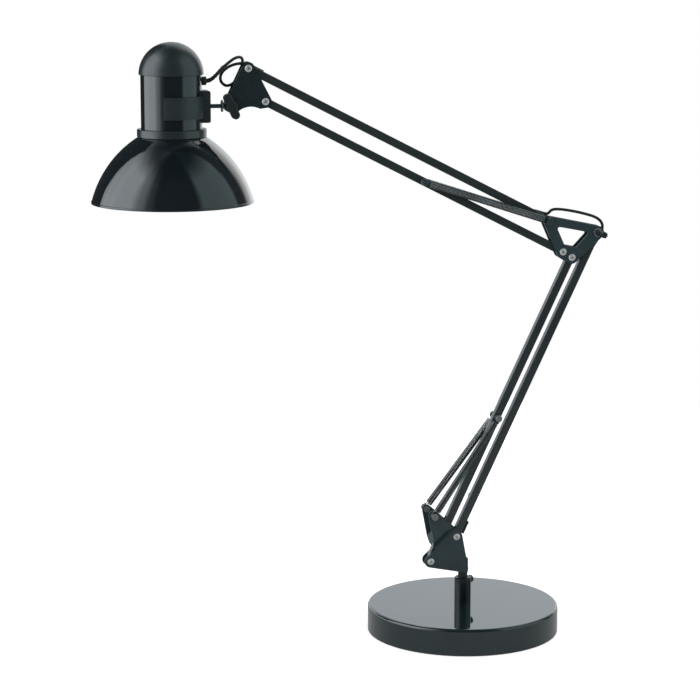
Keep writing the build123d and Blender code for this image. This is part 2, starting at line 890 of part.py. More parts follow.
with BuildPart() as elbow_washer:
    with BuildSketch(depth_plane(-cheek_outside)):
        with Locations(elbow_rear_pivot):
            Circle(knob_washer_diameter / 2)
            Circle(stem_hole, mode=Mode.SUBTRACT)
    extrude(amount=knob_washer_thickness)

with BuildPart() as elbow_knob:
    with BuildSketch(depth_plane(-knob_start - seat_gap)):
        with Locations(elbow_rear_pivot):
            Circle(knob_diameter / 2)
            with PolarLocations(knob_diameter / 2, knob_grooves):
                Circle(knob_groove_radius, mode=Mode.SUBTRACT)
    extrude(amount=knob_length)
    with BuildSketch(depth_plane(-knob_start)):
        with Locations(elbow_rear_pivot):
            Circle(bolt_diameter / 2 + running_gap)
    extrude(amount=knob_grip + 2 * seat_gap, mode=Mode.SUBTRACT)


# Springs: a pair on each arm, from the stand or the elbow to the posts
def spring_pair(arm, anchor, anchor_depth, post):
    """The near and far spring of an arm, by node name."""
    sides = {"near": -1, "far": 1}
    return {
        f"{arm}_spring_{name}": tension_spring(
            f"{arm}_spring_{name}",
            (anchor[0], side * anchor_depth, anchor[1]),
            (post[0], side * spring_at_post, post[1]),
        )
        for name, side in sides.items()
    }


springs = spring_pair("lower", spring_stud, spring_at_stud, lower_post)
springs |= spring_pair("upper", elbow_top_pivot, spring_at_pin, upper_post)


# Head bracket: two cheeks that hold both upper bars and the tilt bolt
def head_cheek(inside):
    """One head cheek: a plate round the two bar pivots and the tilt bolt."""
    bar_pivots = (head_boom_pivot, head_top_pivot)
    lower_edge = Vector(*tilt_pivot) - Vector(*head_boom_pivot)
    waist_reach = head_lobe_radius - head_waist_depth + head_waist_radius
    downward = lower_edge.rotate(Axis.Z, 90).normalized()
    waist = Vector(*head_boom_pivot) + lower_edge / 2 + downward * waist_reach
    with BuildPart() as cheek:
        with BuildSketch(depth_plane(inside)):
            with BuildSketch(mode=Mode.PRIVATE) as corners:
                with Locations(*bar_pivots, tilt_pivot):
                    Circle(head_lobe_radius)
            make_hull(corners.sketch.edges())
            with Locations((waist.X, waist.Y)):
                Circle(head_waist_radius, mode=Mode.SUBTRACT)
            with Locations(*bar_pivots):
                Circle(stem_hole, mode=Mode.SUBTRACT)
            with Locations(tilt_pivot):
                Circle(tilt_bolt_diameter / 2 + press_gap, mode=Mode.SUBTRACT)
        extrude(amount=cheek_thickness)
    return cheek


head_cheek_near = head_cheek(-cheek_inside)
head_cheek_far = head_cheek(cheek_outside)
head_rivets = group_of([rivet(point) for point in (head_boom_pivot, head_top_pivot)])
wing_start = cheek_outside + seat_gap

with BuildPart() as tilt_bolt:
    with BuildSketch(depth_plane(cheek_outside)):
        with Locations(tilt_pivot):
            Circle(tilt_bolt_diameter / 2)
    extrude(amount=cheek_outside + wing_start + wing_bolt_reach)
    with BuildSketch(depth_plane(cheek_outside + tilt_bolt_head_height)):
        with Locations(tilt_pivot):
            RegularPolygon(tilt_bolt_head / 2, 6, major_radius=False)
    extrude(amount=tilt_bolt_head_height)

with BuildPart() as wing_nut:
    with BuildSketch(depth_plane(-wing_start)):
        with Locations(tilt_pivot):
            Circle(wing_hub_radius)
            SlotOverall(wing_span, wing_width, rotation=wing_angle)
    extrude(amount=wing_depth)
    fillet(wing_nut.faces().sort_by(Axis.Y)[0].edges(), wing_edge_radius)
    with BuildSketch(depth_plane(-wing_start)):
        with Locations(tilt_pivot):
            Circle(tilt_bolt_diameter / 2 + running_gap)
    extrude(amount=wing_bolt_reach + seat_gap, mode=Mode.SUBTRACT)

# Head stem: an eye on the tilt bolt and a rod that turns in the block of the clip
clip_inside = housing_radius + press_gap
clip_outside = clip_inside + clip_thickness
block_face = head_axis_x + clip_outside + block_depth
rod_tip = head_axis_x + clip_inside + rod_flange_thickness + 2 * running_gap
rod_plane = Plane(origin=(rod_tip, 0, clip_middle), x_dir=(0, 1, 0), z_dir=(1, 0, 0))

with BuildPart() as head_stem:
    with BuildSketch(rod_plane):
        Circle(stem_rod_diameter / 2)
    extrude(amount=tilt_pivot[0] - rod_tip)
    with BuildSketch(rod_plane.offset(-rod_flange_thickness)):
        Circle(rod_flange_diameter / 2)
    extrude(amount=rod_flange_thickness)
    with BuildSketch(depth_plane(bar_width / 2)):
        with Locations(tilt_pivot):
            Circle(eye_radius)
    extrude(amount=bar_width)
    with BuildSketch(depth_plane(bar_width)):
        with Locations(tilt_pivot):
            Circle(tilt_bolt_diameter / 2 + running_gap)
    extrude(amount=2 * bar_width, mode=Mode.SUBTRACT)

disc_start = tilt_pivot[0] - head_lobe_radius - disc_gap - disc_thickness - rod_tip
with BuildPart() as stem_disc:
    with BuildSketch(rod_plane.offset(disc_start)):
        Circle(disc_diameter / 2)
        Circle(stem_rod_diameter / 2 + press_gap, mode=Mode.SUBTRACT)
    extrude(amount=disc_thickness)

# Clip: a sprung band round the housing with the block that the rod turns in
with BuildPart() as saddle_clip:
    with BuildSketch(Plane.XY.offset(clip_middle - clip_height / 2)):
        with Locations((head_axis_x, 0)):
            Circle(clip_outside)
        with BuildLine():
            gap_turn = math.radians(clip_half_angle)
            gap_reach = 2 * clip_outside
            Polyline(
                (head_axis_x, 0),
                (head_axis_x + gap_reach * math.cos(gap_turn), gap_reach * math.sin(gap_turn)),
                (head_axis_x - gap_reach, 0),
                (head_axis_x + gap_reach * math.cos(gap_turn), -gap_reach * math.sin(gap_turn)),
                close=True,
            )
        make_face(mode=Mode.SUBTRACT)
    extrude(amount=clip_height)
    with BuildSketch(Plane.XZ):
        with Locations((block_face - block_depth, clip_middle)):
            Rectangle(2 * block_depth, block_height)
    extrude(amount=block_width / 2, both=True)
    corner_edges = saddle_clip.edges().filter_by(Axis.Y).sort_by(Axis.X)[-2:]
    fillet(corner_edges, block_corner_radius)
    with BuildSketch(Plane.XY.offset(clip_middle - block_height)):
        with Locations((head_axis_x, 0)):
            Circle(clip_inside)
    extrude(amount=2 * block_height, mode=Mode.SUBTRACT)
    with BuildSketch(rod_plane):
        Circle(stem_rod_diameter / 2 + running_gap)
    extrude(amount=2 * block_depth, mode=Mode.SUBTRACT)
    with BuildSketch(rod_plane.offset(running_gap)):
        Circle(rod_flange_diameter / 2 + running_gap)
    extrude(amount=-2 * block_depth, mode=Mode.SUBTRACT)

# Housing and its cap
with BuildPart() as lamp_housing:
    with BuildSketch(Plane.XY.offset(housing_bottom)):
        with Locations((head_axis_x, 0)):
            Circle(housing_radius)
    extrude(amount=housing_length)
    with BuildSketch(Plane.XY.offset(housing_bottom)):
        with Locations((head_axis_x, 0)):
            Circle(housing_radius - housing_wall)
    extrude(amount=housing_length - housing_web, mode=Mode.SUBTRACT)
    with BuildSketch(Plane.XY.offset(housing_bottom)):
        with Locations((head_axis_x, 0)):
            Circle(nipple_radius + press_gap)
    extrude(amount=2 * housing_length, mode=Mode.SUBTRACT)
    with BuildSketch(rod_plane.offset(-rod_tip + head_axis_x)):
        with Locations((0, relief_height - clip_middle)):
            Circle(relief_hole_diameter / 2)
    extrude(amount=2 * housing_radius, mode=Mode.SUBTRACT)

cap_inside = housing_radius + seat_gap
ledge_bottom = housing_top + seat_gap
dome_inside = cap_radius - cap_wall
ledge_radius = dome_inside - cap_ledge
ledge_turn = math.degrees(math.acos(ledge_radius / dome_inside))
with BuildPart() as housing_cap:
    with BuildSketch(head_plane):
        with BuildLine():
            CenterArc((0, cap_bottom), cap_radius, 0, 90)
            Polyline(
                (0, cap_bottom + cap_radius),
                (0, ledge_bottom),
                (cap_inside, ledge_bottom),
                (cap_inside, cap_bottom),
                (cap_radius, cap_bottom),
            )
        make_face()
    revolve(axis=head_axis)
    cap_lip = housing_cap.edges().filter_by(GeomType.CIRCLE).group_by(Axis.Z)[0].sort_by(SortBy.RADIUS)[-1]
    fillet(cap_lip, cap_lip_radius)
    with BuildSketch(head_plane):
        with BuildLine():
            dome = CenterArc((0, cap_bottom), dome_inside, ledge_turn, 90 - ledge_turn)
            Polyline(dome @ 1, (0, cap_bottom), (ledge_radius, cap_bottom), dome @ 0)
        make_face()
    revolve(axis=head_axis, mode=Mode.SUBTRACT)

with BuildPart() as shade_collar:
    with BuildSketch(Plane.XY.offset(housing_bottom)):
        with Locations((head_axis_x, 0)):
            Circle(collar_radius)
    extrude(amount=collar_height)
    collar_rims = shade_collar.edges().filter_by(GeomType.CIRCLE)
    fillet(collar_rims, collar_edge_radius)
    with BuildSketch(Plane.XY.offset(housing_bottom)):
        with Locations((head_axis_x, 0)):
            Circle(housing_radius + press_gap)
    extrude(amount=collar_height, mode=Mode.SUBTRACT)

# Shade: a spun bowl with a flange at its neck and a rolled bead at its rim
chord = Vector(rim_radius - shade_neck_radius, -shade_height)
outward = Vector(shade_height, rim_radius - shade_neck_radius).normalized()
half_chord = chord.length / 2
arc_radius = (half_chord**2 + shade_bulge**2) / (2 * shade_bulge)
arc_centre = Vector(shade_neck_radius, shade_top) + chord * 0.5 - outward * (arc_radius - shade_bulge)


def on_shade(share, inset=0.0):
    """A point of the shade's side view, from its neck, 0, to its rim, 1."""
    neck = Vector(shade_neck_radius, shade_top) - arc_centre
    turn = share * 2 * math.degrees(math.asin(half_chord / arc_radius))
    return arc_centre + neck.rotate(Axis.Z, -turn) * ((arc_radius - inset) / arc_radius)


with BuildPart() as shade:
    with BuildSketch(head_plane):
        with BuildLine():
            ThreePointArc(on_shade(0), on_shade(0.5), on_shade(1))
            Line(on_shade(1), on_shade(1, shade_wall))
            ThreePointArc(on_shade(1, shade_wall), on_shade(0.5, shade_wall), on_shade(0, shade_wall))
            Line(on_shade(0, shade_wall), on_shade(0))
        make_face()
        with Locations((on_shade(1).X - rim_bead_radius, rim_height + rim_bead_radius)):
            Circle(rim_bead_radius)
    revolve(axis=head_axis)
    with BuildSketch(Plane.XY.offset(shade_top - shade_wall)):
        with Locations((head_axis_x, 0)):
            Circle(shade_neck_radius)
            Circle(shade_flange_radius, mode=Mode.SUBTRACT)
    extrude(amount=shade_wall)

# Lamp holder and bulb
holder_top = housing_top - housing_web
holder_bottom = holder_top - holder_length
mouth_top = holder_bottom + holder_mouth_depth
bulb_cap_top = mouth_top - seat_gap
bulb_cap_bottom = bulb_cap_top - bulb_cap_length
bulb_bottom = bulb_cap_bottom - bulb_length

with BuildPart() as lamp_holder:
    with BuildSketch(Plane.XY.offset(holder_bottom)):
        with Locations((head_axis_x, 0)):
            Circle(holder_radius)
    extrude(amount=holder_length)
    fillet(lamp_holder.edges().filter_by(GeomType.CIRCLE), collar_edge_radius)
    with BuildSketch(Plane.XY.offset(holder_bottom)):
        with Locations((head_axis_x, 0)):
            Circle(bulb_cap_radius + seat_gap)
    extrude(amount=holder_mouth_depth, mode=Mode.SUBTRACT)
    with BuildSketch(Plane.XY.offset(holder_top)):
        with Locations((head_axis_x, 0)):
            Circle(nipple_radius)
    extrude(amount=nipple_length)

with BuildPart() as holder_nut:
    with BuildSketch(Plane.XY.offset(housing_top)):
        with Locations((head_axis_x, 0)):
            RegularPolygon(holder_nut_across_flats / 2, 6, major_radius=False)
            Circle(nipple_radius + press_gap, mode=Mode.SUBTRACT)
    extrude(amount=holder_nut_thickness)

cap_threads = int((bulb_cap_length - bulb_cap_pitch) / bulb_cap_pitch)
with BuildPart() as bulb_cap:
    with BuildSketch(Plane.XY.offset(bulb_cap_bottom)):
        with Locations((head_axis_x, 0)):
            Circle(bulb_cap_radius)
    extrude(amount=bulb_cap_length)
    chamfer(bulb_cap.edges().filter_by(GeomType.CIRCLE).sort_by(Axis.Z)[-1], bulb_cap_radius / 4)
    for ring in range(1, cap_threads):
        with BuildSketch(head_plane):
            with Locations((bulb_cap_radius, bulb_cap_bottom + ring * bulb_cap_pitch)):
                Circle(bulb_cap_groove)
        revolve(axis=head_axis, mode=Mode.SUBTRACT)


def bulb_profile(inset):
    """The half outline of the bulb's glass, or of its inside, round the lamp's axis."""
    widest = bulb_bottom + bulb_radius
    neck = bulb_neck_radius - inset
    belly = bulb_radius - inset
    with BuildSketch(head_plane, mode=Mode.PRIVATE) as half:
        with BuildLine():
            CenterArc((0, widest), belly, -90, 90)
            Bezier(
                (belly, widest),
                (belly, widest + bulb_radius * 0.75),
                (neck, bulb_cap_bottom - bulb_radius * 0.75),
                (neck, bulb_cap_bottom),
            )
            Line((neck, bulb_cap_bottom), (0, bulb_cap_bottom))
            Line((0, bulb_cap_bottom), (0, widest - belly))
        make_face()
    return half.sketch


glass_outside = bulb_profile(0)
glass_inside = bulb_profile(bulb_glass_wall)
with BuildPart() as bulb_glass:
    revolve(glass_outside, axis=head_axis)
    revolve(glass_inside, axis=head_axis, mode=Mode.SUBTRACT)

# Cords: a moulded relief on the housing, the loop to the head bracket and the arc over the elbow
relief_foot = head_axis_x + housing_radius
relief_plane = Plane(origin=(relief_foot, 0, relief_height), z_dir=(1, 0, 0))
relief_tip = Vector(*head_cord_route[0])
relief_way = (Vector(*head_cord_route[1]) - relief_tip).normalized()
relief_neck = relief_tip - relief_way * relief_neck_length
with BuildPart() as cord_relief:
    with BuildSketch(relief_plane.offset(press_gap)):
        Circle(relief_base_diameter / 2)
    extrude(amount=relief_base_length)
    with BuildSketch(relief_plane.offset(relief_base_length)):
        Circle(relief_foot_diameter / 2)
    with BuildSketch(Plane(origin=relief_neck, z_dir=relief_way)):
        Circle(relief_neck_diameter / 2)
    with BuildSketch(Plane(origin=relief_tip, z_dir=relief_way)):
        Circle(relief_tip_diameter / 2)
    loft()

head_cord = cord_tube("head_cord", head_cord_route)
elbow_cord = cord_tube("elbow_cord", elbow_cord_route)

pieces = {
    "base_cover": base_cover,
    "base_weight": base_weight,
    "base_pad": base_pad,
    "post_socket": post_socket,
    "socket_bush": socket_bush,
    "socket_nut": socket_nut,
    "clamp_screw": clamp_screw,
    "swivel_stem": swivel_stem,
    "stand_cheek_near": stand_cheek_near,
    "stand_cheek_far": stand_cheek_far,
    "stand_rivets": stand_rivets,
    "stem_pins": stem_pins,
    "stand_spring_studs": stand_spring_studs,
    "lower_spring_post": lower_spring_post,
    "rear_bar_stop": rear_bar_stop,
    "cord_exit_grommet": cord_exit_grommet,
    "lower_cord_run": lower_cord_run,
    "elbow_cheek_near": elbow_cheek_near,
    "elbow_cheek_far": elbow_cheek_far,
    "elbow_rivets": elbow_rivets,
    "elbow_spring_pin": elbow_spring_pin,
    "elbow_bolt": elbow_bolt,
    "elbow_washer": elbow_washer,
    "elbow_knob": elbow_knob,
    "elbow_cord": elbow_cord,
    "upper_spring_post": upper_spring_post,
    "upper_cord_run": upper_cord_run,
    "head_cheek_near": head_cheek_near,
    "head_cheek_far": head_cheek_far,
    "head_rivets": head_rivets,
    "tilt_bolt": tilt_bolt,
    "wing_nut": wing_nut,
    "head_stem": head_stem,
    "stem_disc": stem_disc,
    "saddle_clip": saddle_clip,
    "lamp_housing": lamp_housing,
    "housing_cap": housing_cap,
    "shade_collar": shade_collar,
    "shade": shade,
    "lamp_holder": lamp_holder,
    "holder_nut": holder_nut,
    "bulb_cap": bulb_cap,
    "bulb_glass": bulb_glass,
    "cord_relief": cord_relief,
    "head_cord": head_cord,
}
pieces |= {f"{name}_bar": bar for name, bar in bars.items()}
pieces |= {f"{name}_inserts": pair for name, pair in inserts.items()}
pieces |= springs

os.makedirs("parts", exist_ok=True)
for name, piece in pieces.items():
    piece.part.label = name
    export_step(piece.part, f"parts/{name}.step")
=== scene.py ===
"""Looks of a desk lamp with two spring-balanced arms, a round weighted base and a bowl-shaped shade.

Lengths are in metres. +Z is up, the arms fold in the X-Z plane and the shade hangs towards -X.
"""

import json
import logging
import math
from dataclasses import dataclass, field
from enum import Enum

import bpy
import numpy as np
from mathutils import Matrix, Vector


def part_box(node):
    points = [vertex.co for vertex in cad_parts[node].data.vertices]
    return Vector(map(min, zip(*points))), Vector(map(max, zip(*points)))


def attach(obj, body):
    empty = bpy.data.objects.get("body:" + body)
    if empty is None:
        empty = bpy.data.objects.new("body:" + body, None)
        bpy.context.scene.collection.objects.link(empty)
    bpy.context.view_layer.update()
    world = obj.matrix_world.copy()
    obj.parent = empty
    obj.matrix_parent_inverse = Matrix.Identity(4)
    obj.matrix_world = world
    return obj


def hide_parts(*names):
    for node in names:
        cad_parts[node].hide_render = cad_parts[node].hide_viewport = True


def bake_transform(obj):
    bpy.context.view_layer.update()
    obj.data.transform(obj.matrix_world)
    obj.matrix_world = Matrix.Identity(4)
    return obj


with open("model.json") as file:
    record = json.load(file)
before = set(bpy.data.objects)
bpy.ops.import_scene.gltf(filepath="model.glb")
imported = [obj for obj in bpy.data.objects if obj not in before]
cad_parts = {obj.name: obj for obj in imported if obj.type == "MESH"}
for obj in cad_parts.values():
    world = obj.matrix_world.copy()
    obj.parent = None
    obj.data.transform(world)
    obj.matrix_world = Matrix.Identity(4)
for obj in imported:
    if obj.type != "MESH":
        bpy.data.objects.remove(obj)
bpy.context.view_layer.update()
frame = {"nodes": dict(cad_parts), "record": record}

log = logging.getLogger("desk_lamp")
logging.basicConfig(level=logging.INFO, format="%(name)s: %(message)s")

Point = tuple[float, float, float]
Colour = tuple[float, float, float]
Array = np.ndarray
Socket = bpy.types.NodeSocket

VIEW_HEADING = -12.19
UP = (0.0, 0.0, 1.0)
OUT = (1.0, 0.0, 0.0)
SIDEWAYS = (0.0, 1.0, 0.0)
WHITE = (1.0, 1.0, 1.0)
NOISE_MIDDLE = (0.3, 0.7)
GRAIN_OCTAVES = 2.0
SOFT_OCTAVES = 3.0
CLOUD_OCTAVES = 4.0
FIBRE_OCTAVES = 6.0
GLOSSIEST = 0.02
TUBE_MAP = "along_and_round"
SHARP_EDGE = 50.0


class Side(Enum):
    """The side of the lamp that a piece is on: near is -Y and far is +Y."""

    NEAR = -1
    FAR = 1


class Slope(Enum):
    """Whether a straight run rises or falls along +X."""

    RISING = 1
    FALLING = -1


class Grain(Enum):
    """How the fine surface of a finish is broken up."""

    ORANGE_PEEL = "orange_peel"
    SPARKED = "sparked"
    BRUSHED = "brushed"
    CAST = "cast"
    FIBRES = "fibres"


class NodeTree:
    """The node tree of a material or a world, with short calls to add nodes and join them."""

    def __init__(self, owner: bpy.types.ID, output: str) -> None:
        """Empties the owner's tree and adds its output.

        Args:
            owner: The material or the world.
            output: The output's kind, as add takes it.
        """
        owner.use_nodes = True
        self.nodes = owner.node_tree.nodes
        self.links = owner.node_tree.links
        self.nodes.clear()
        self.output = self.add(output, {})

    def add(self, kind: str, inputs: dict[str | int, object], **settings: object) -> bpy.types.Node:
        """Adds a node.

        Args:
            kind: The node's kind, without its first word ShaderNode.
            inputs: What each socket takes, by the socket's name or number.
            settings: The node's own settings, which are made first.

        Returns:
            The node.
        """
        node = self.nodes.new(f"ShaderNode{kind}")
        for name, value in settings.items():
            setattr(node, name, value)
        for place, source in inputs.items():
            self.fill(node.inputs[place], source)
        return node

    def fill(self, socket: Socket, source: object) -> None:
        """Joins a socket to another one, or sets its value.

        Args:
            socket: The socket.
            source: The other socket, or the value.
        """
        if isinstance(source, Socket):
            self.links.new(source, socket)
        else:
            socket.default_value = source

    def show(self, shader: bpy.types.Node) -> None:
        """Joins a shader to the output's surface."""
        self.fill(self.output.inputs["Surface"], shader.outputs[0])

    def mix(self, share: Socket, first: object, second: object) -> Socket:
        """A colour between two.

        Args:
            share: The share of the second, from 0 to 1.
            first: The first colour, with its alpha, or a socket.
            second: The second colour, with its alpha, or a socket.

        Returns:
            The colour.
        """
        node = self.add("Mix", {"Factor": share, "A": first, "B": second}, data_type="RGBA")
        return node.outputs["Result"]

    def seen_directly(self, rays: bpy.types.Node) -> Socket:
        """Tells the rays that a viewer looks along from all others.

        Args:
            rays: The tree's light path node.

        Returns:
            1 for rays from the camera and through glass, and 0 for the others.
        """
        either = {0: rays.outputs["Is Camera Ray"], 1: rays.outputs["Is Transmission Ray"]}
        return self.add("Math", either, operation="MAXIMUM").outputs[0]


class ShaderTree(NodeTree):
    """The tree of a material with one surface shader, which reads the object's own space."""

    def __init__(self, name: str) -> None:
        """Makes the material.

        Args:
            name: The material's name.
        """
        self.material = bpy.data.materials.new(name)
        super().__init__(self.material, "OutputMaterial")
        self.shader = self.add("BsdfPrincipled", {})
        self.show(self.shader)
        self.place = self.add("TexCoord", {}).outputs["Object"]

    def set(self, **sources: object) -> None:
        """Fills the shader's own sockets, with underscores in the place of spaces.

        Args:
            sources: A value for each socket, or another socket to join it to.
        """
        for name, source in sources.items():
            self.fill(self.shader.inputs[name.replace("_", " ")], source)

    def mapped(self, scale: Point) -> Socket:
        """Object coordinates times a scale along X, Y and Z."""
        return self.add("Mapping", {"Vector": self.place, "Scale": scale}).outputs["Vector"]

    def noise(self, where: Socket, scale: float, octaves: float) -> Socket:
        """Smooth noise.

        Args:
            where: The coordinates.
            scale: Cells to a unit of the coordinates.
            octaves: Layers of ever finer noise.

        Returns:
            The noise, from 0 to 1.
        """
        return self.add("TexNoise", {"Vector": where, "Scale": scale, "Detail": octaves}).outputs["Fac"]

    def cells(self, where: Socket, scale: float) -> Socket:
        """Distance to the nearest of scattered points.

        Args:
            where: The coordinates.
            scale: Cells to a unit of the coordinates.

        Returns:
            The distance.
        """
        return self.add("TexVoronoi", {"Vector": where, "Scale": scale}).outputs["Distance"]

    def spread(self, source: Socket, low: float, high: float) -> Socket:
        """Maps the middle of a noise on to a range.

        Args:
            source: The noise.
            low: What the low end of its middle becomes.
            high: What the high end of its middle becomes.

        Returns:
            The mapped value.
        """
        ends = {"From Min": NOISE_MIDDLE[0], "From Max": NOISE_MIDDLE[1], "To Min": low, "To Max": high}
        return self.add("MapRange", {"Value": source, **ends}).outputs["Result"]

    def between(self, source: Socket, first: Colour, second: Colour) -> Socket:
        """A colour between two, by a noise.

        Args:
            source: The noise.
            first: The colour at the low end of its middle.
            second: The colour at the high end of its middle.

        Returns:
            The colour.
        """
        node = self.add("ValToRGB", {"Fac": source})
        for stop, place, colour in zip(node.color_ramp.elements, NOISE_MIDDLE, (first, second), strict=True):
            stop.position = place
            stop.color = (*colour, 1.0)
        return node.outputs["Color"]

    def bump(self, height: Socket, strength: float, depth: float) -> None:
        """Gives the shader a bump.

        Args:
            height: The height, from 0 to 1.
            strength: How much of the bump shows.
            depth: The height of 1, in metres.
        """
        node = self.add("Bump", {"Height": height, "Strength": strength, "Distance": depth})
        self.set(Normal=node.outputs["Normal"])


def darker(colour: Colour, share: float) -> Colour:
    """A colour times a share.

    Args:
        colour: Linear red, green and blue.
        share: What is kept.

    Returns:
        The darker, or for a share over 1 the lighter, colour.
    """
    return (colour[0] * share, colour[1] * share, colour[2] * share)


@dataclass(frozen=True)
class Finish:
    """A finish with drifting colour, uneven gloss and a fine grain, all from noise in the object's own space."""

    name: str
    colour: Colour
    roughness: float
    grain: Grain
    drift: float = 0.12
    unevenness: float = 0.05
    grain_scale: float = 900.0
    grain_depth: float = 0.00004
    grain_strength: float = 0.1
    metallic: float = 0.0
    refraction: float = 1.5
    coat: float = 0.0
    coat_roughness: float = 0.03
    brushed_along: Point = (1.0, 1.0, 1.0)
    cloud_scale: float = 38.0
    smear_scale: float = 160.0

    def material(self) -> bpy.types.Material:
        """Makes the material.

        Returns:
            A material with noise in its colour, its roughness and its bump.
        """
        tree = ShaderTree(self.name)
        tree.set(Metallic=self.metallic, IOR=self.refraction)
        tree.set(Coat_Weight=self.coat, Coat_Roughness=self.coat_roughness)
        cloud = tree.noise(tree.place, self.cloud_scale, CLOUD_OCTAVES)
        pale = darker(self.colour, 1.0 + self.drift)
        deep = darker(self.colour, 1.0 - self.drift)
        tree.set(Base_Color=tree.between(cloud, deep, pale))
        smear = tree.noise(tree.mapped(self.brushed_along), self.smear_scale, CLOUD_OCTAVES)
        low = max(self.roughness - self.unevenness, GLOSSIEST)
        tree.set(Roughness=tree.spread(smear, low, self.roughness + self.unevenness))
        tree.bump(self.texture(tree), self.grain_strength, self.grain_depth)
        return tree.material

    def texture(self, tree: ShaderTree) -> Socket:
        """The height of the grain.

        Args:
            tree: The material's tree.

        Returns:
            The height, from 0 to 1.
        """
        where = tree.mapped(self.brushed_along)
        if self.grain in (Grain.SPARKED, Grain.CAST):
            return tree.cells(where, self.grain_scale)
        octaves = FIBRE_OCTAVES if self.grain is Grain.FIBRES else GRAIN_OCTAVES
        return tree.noise(where, self.grain_scale, octaves)


@dataclass(frozen=True)
class FrostedGlass:
    """Glass that is frosted inside: clear enough to glow and rough enough to hide what is in it."""

    name: str
    colour: Colour
    roughness: float
    drift: float = 0.05
    unevenness: float = 0.05
    refraction: float = 1.45
    transmission: float = 0.35
    cloud_scale: float = 60.0
    frost_scale: float = 1500.0
    frost_strength: float = 0.05
    frost_depth: float = 0.00002

    def material(self) -> bpy.types.Material:
        """Makes the material.

        Returns:
            A milky, partly transmitting material.
        """
        tree = ShaderTree(self.name)
        tree.set(IOR=self.refraction, Transmission_Weight=self.transmission)
        cloud = tree.noise(tree.place, self.cloud_scale, SOFT_OCTAVES)
        tree.set(Base_Color=tree.between(cloud, darker(self.colour, 1.0 - self.drift), self.colour))
        rough = tree.spread(cloud, self.roughness - self.unevenness, self.roughness + self.unevenness)
        tree.set(Roughness=rough)
        frost = tree.noise(tree.place, self.frost_scale, GRAIN_OCTAVES)
        tree.bump(frost, self.frost_strength, self.frost_depth)
        return tree.material


@dataclass(frozen=True)
class Sheath:
    """A cord's moulded sheath, with faint rings along its length from its own UV map."""

    name: str
    colour: Colour
    roughness: float
    drift: float = 0.15
    glossier: float = 0.05
    rougher: float = 0.06
    refraction: float = 1.48
    cloud_scale: float = 120.0
    rings: float = 900.0
    ring_distortion: float = 0.6
    ring_strength: float = 0.12
    ring_depth: float = 0.00006

    def material(self) -> bpy.types.Material:
        """Makes the material.

        Returns:
            A satin dark material whose rings follow the cord.
        """
        tree = ShaderTree(self.name)
        tree.set(IOR=self.refraction)
        cloud = tree.noise(tree.place, self.cloud_scale, SOFT_OCTAVES)
        pale = darker(self.colour, 1.0 + self.drift)
        deep = darker(self.colour, 1.0 - self.drift)
        tree.set(Base_Color=tree.between(cloud, deep, pale))
        tree.set(Roughness=tree.spread(cloud, self.roughness - self.glossier, self.roughness + self.rougher))
        along = tree.add("UVMap", {}, uv_map=TUBE_MAP).outputs["UV"]
        waves = {"Vector": along, "Scale": self.rings, "Distortion": self.ring_distortion}
        rings = tree.add("TexWave", waves).outputs["Fac"]
        tree.bump(rings, self.ring_strength, self.ring_depth)
        return tree.material


SHADE_ENAMEL = Finish("shade_enamel", (0.0055, 0.0095, 0.012), 0.07, Grain.ORANGE_PEEL, unevenness=0.02,
                      grain_scale=420.0, grain_depth=0.00003, grain_strength=0.05, refraction=1.52, coat=0.6)
HOUSING_ENAMEL = Finish("housing_enamel", (0.0055, 0.0095, 0.012), 0.09, Grain.ORANGE_PEEL, unevenness=0.03,
                        grain_scale=420.0, grain_depth=0.00003, grain_strength=0.06, refraction=1.52, coat=0.6)
BASE_ENAMEL = Finish("base_enamel", (0.007, 0.016, 0.018), 0.05, Grain.ORANGE_PEEL, unevenness=0.02,
                     grain_scale=300.0, grain_depth=0.00002, grain_strength=0.04, refraction=1.55, coat=0.55)
POST_ENAMEL = Finish("post_enamel", (0.005, 0.009, 0.010), 0.16, Grain.ORANGE_PEEL, unevenness=0.04)
BAR_ENAMEL = Finish("bar_enamel", (0.019, 0.026, 0.028), 0.2, Grain.ORANGE_PEEL, unevenness=0.06, coat=0.2,
                    coat_roughness=0.1)
# Painted light: the cheeks' enamel on the stand and the elbow, painted about twice as light as the head bracket's
# copy of the same enamel, for the light that falls on them.
LIT_CHEEK_ENAMEL = Finish("lit_cheek_enamel", (0.019, 0.036, 0.041), 0.3, Grain.ORANGE_PEEL, unevenness=0.06,
                      grain_strength=0.15)
# The same enamel on the head bracket's cheeks, left darker; the difference between this copy and the one above is
# painted light.
BRACKET_ENAMEL = Finish("bracket_enamel", (0.008, 0.0175, 0.0195), 0.3, Grain.ORANGE_PEEL, unevenness=0.06,
                        grain_strength=0.15)
CAP_MOULDING = Finish("cap_moulding", (0.013, 0.021, 0.023), 0.28, Grain.SPARKED, grain_scale=2600.0,
                      grain_strength=0.3, refraction=1.6)
CLIP_MOULDING = Finish("clip_moulding", (0.012, 0.020, 0.022), 0.4, Grain.SPARKED, grain_scale=2600.0,
                       grain_strength=0.3)
KNOB_MOULDING = Finish("knob_moulding", (0.010, 0.016, 0.018), 0.38, Grain.SPARKED, grain_scale=2600.0,
                       grain_strength=0.3)
BUSH_MOULDING = Finish("bush_moulding", (0.016, 0.019, 0.021), 0.5, Grain.SPARKED, grain_scale=2600.0)
STOP_RUBBER = Finish("stop_rubber", (0.009, 0.013, 0.014), 0.62, Grain.SPARKED, grain_scale=1800.0,
                     grain_strength=0.35)
ZINC_PLATE = Finish("zinc_plate", (0.25, 0.26, 0.27), 0.42, Grain.BRUSHED, metallic=0.7, grain_scale=2200.0,
                    brushed_along=(1.0, 6.0, 1.0))
RIVET_PLATE = Finish("rivet_plate", (0.62, 0.63, 0.63), 0.4, Grain.BRUSHED, metallic=0.65, grain_scale=2600.0)
SPRING_WIRE = Finish("spring_wire", (0.19, 0.2, 0.205), 0.24, Grain.BRUSHED, metallic=1.0, grain_scale=3000.0,
                     drift=0.3, unevenness=0.1)
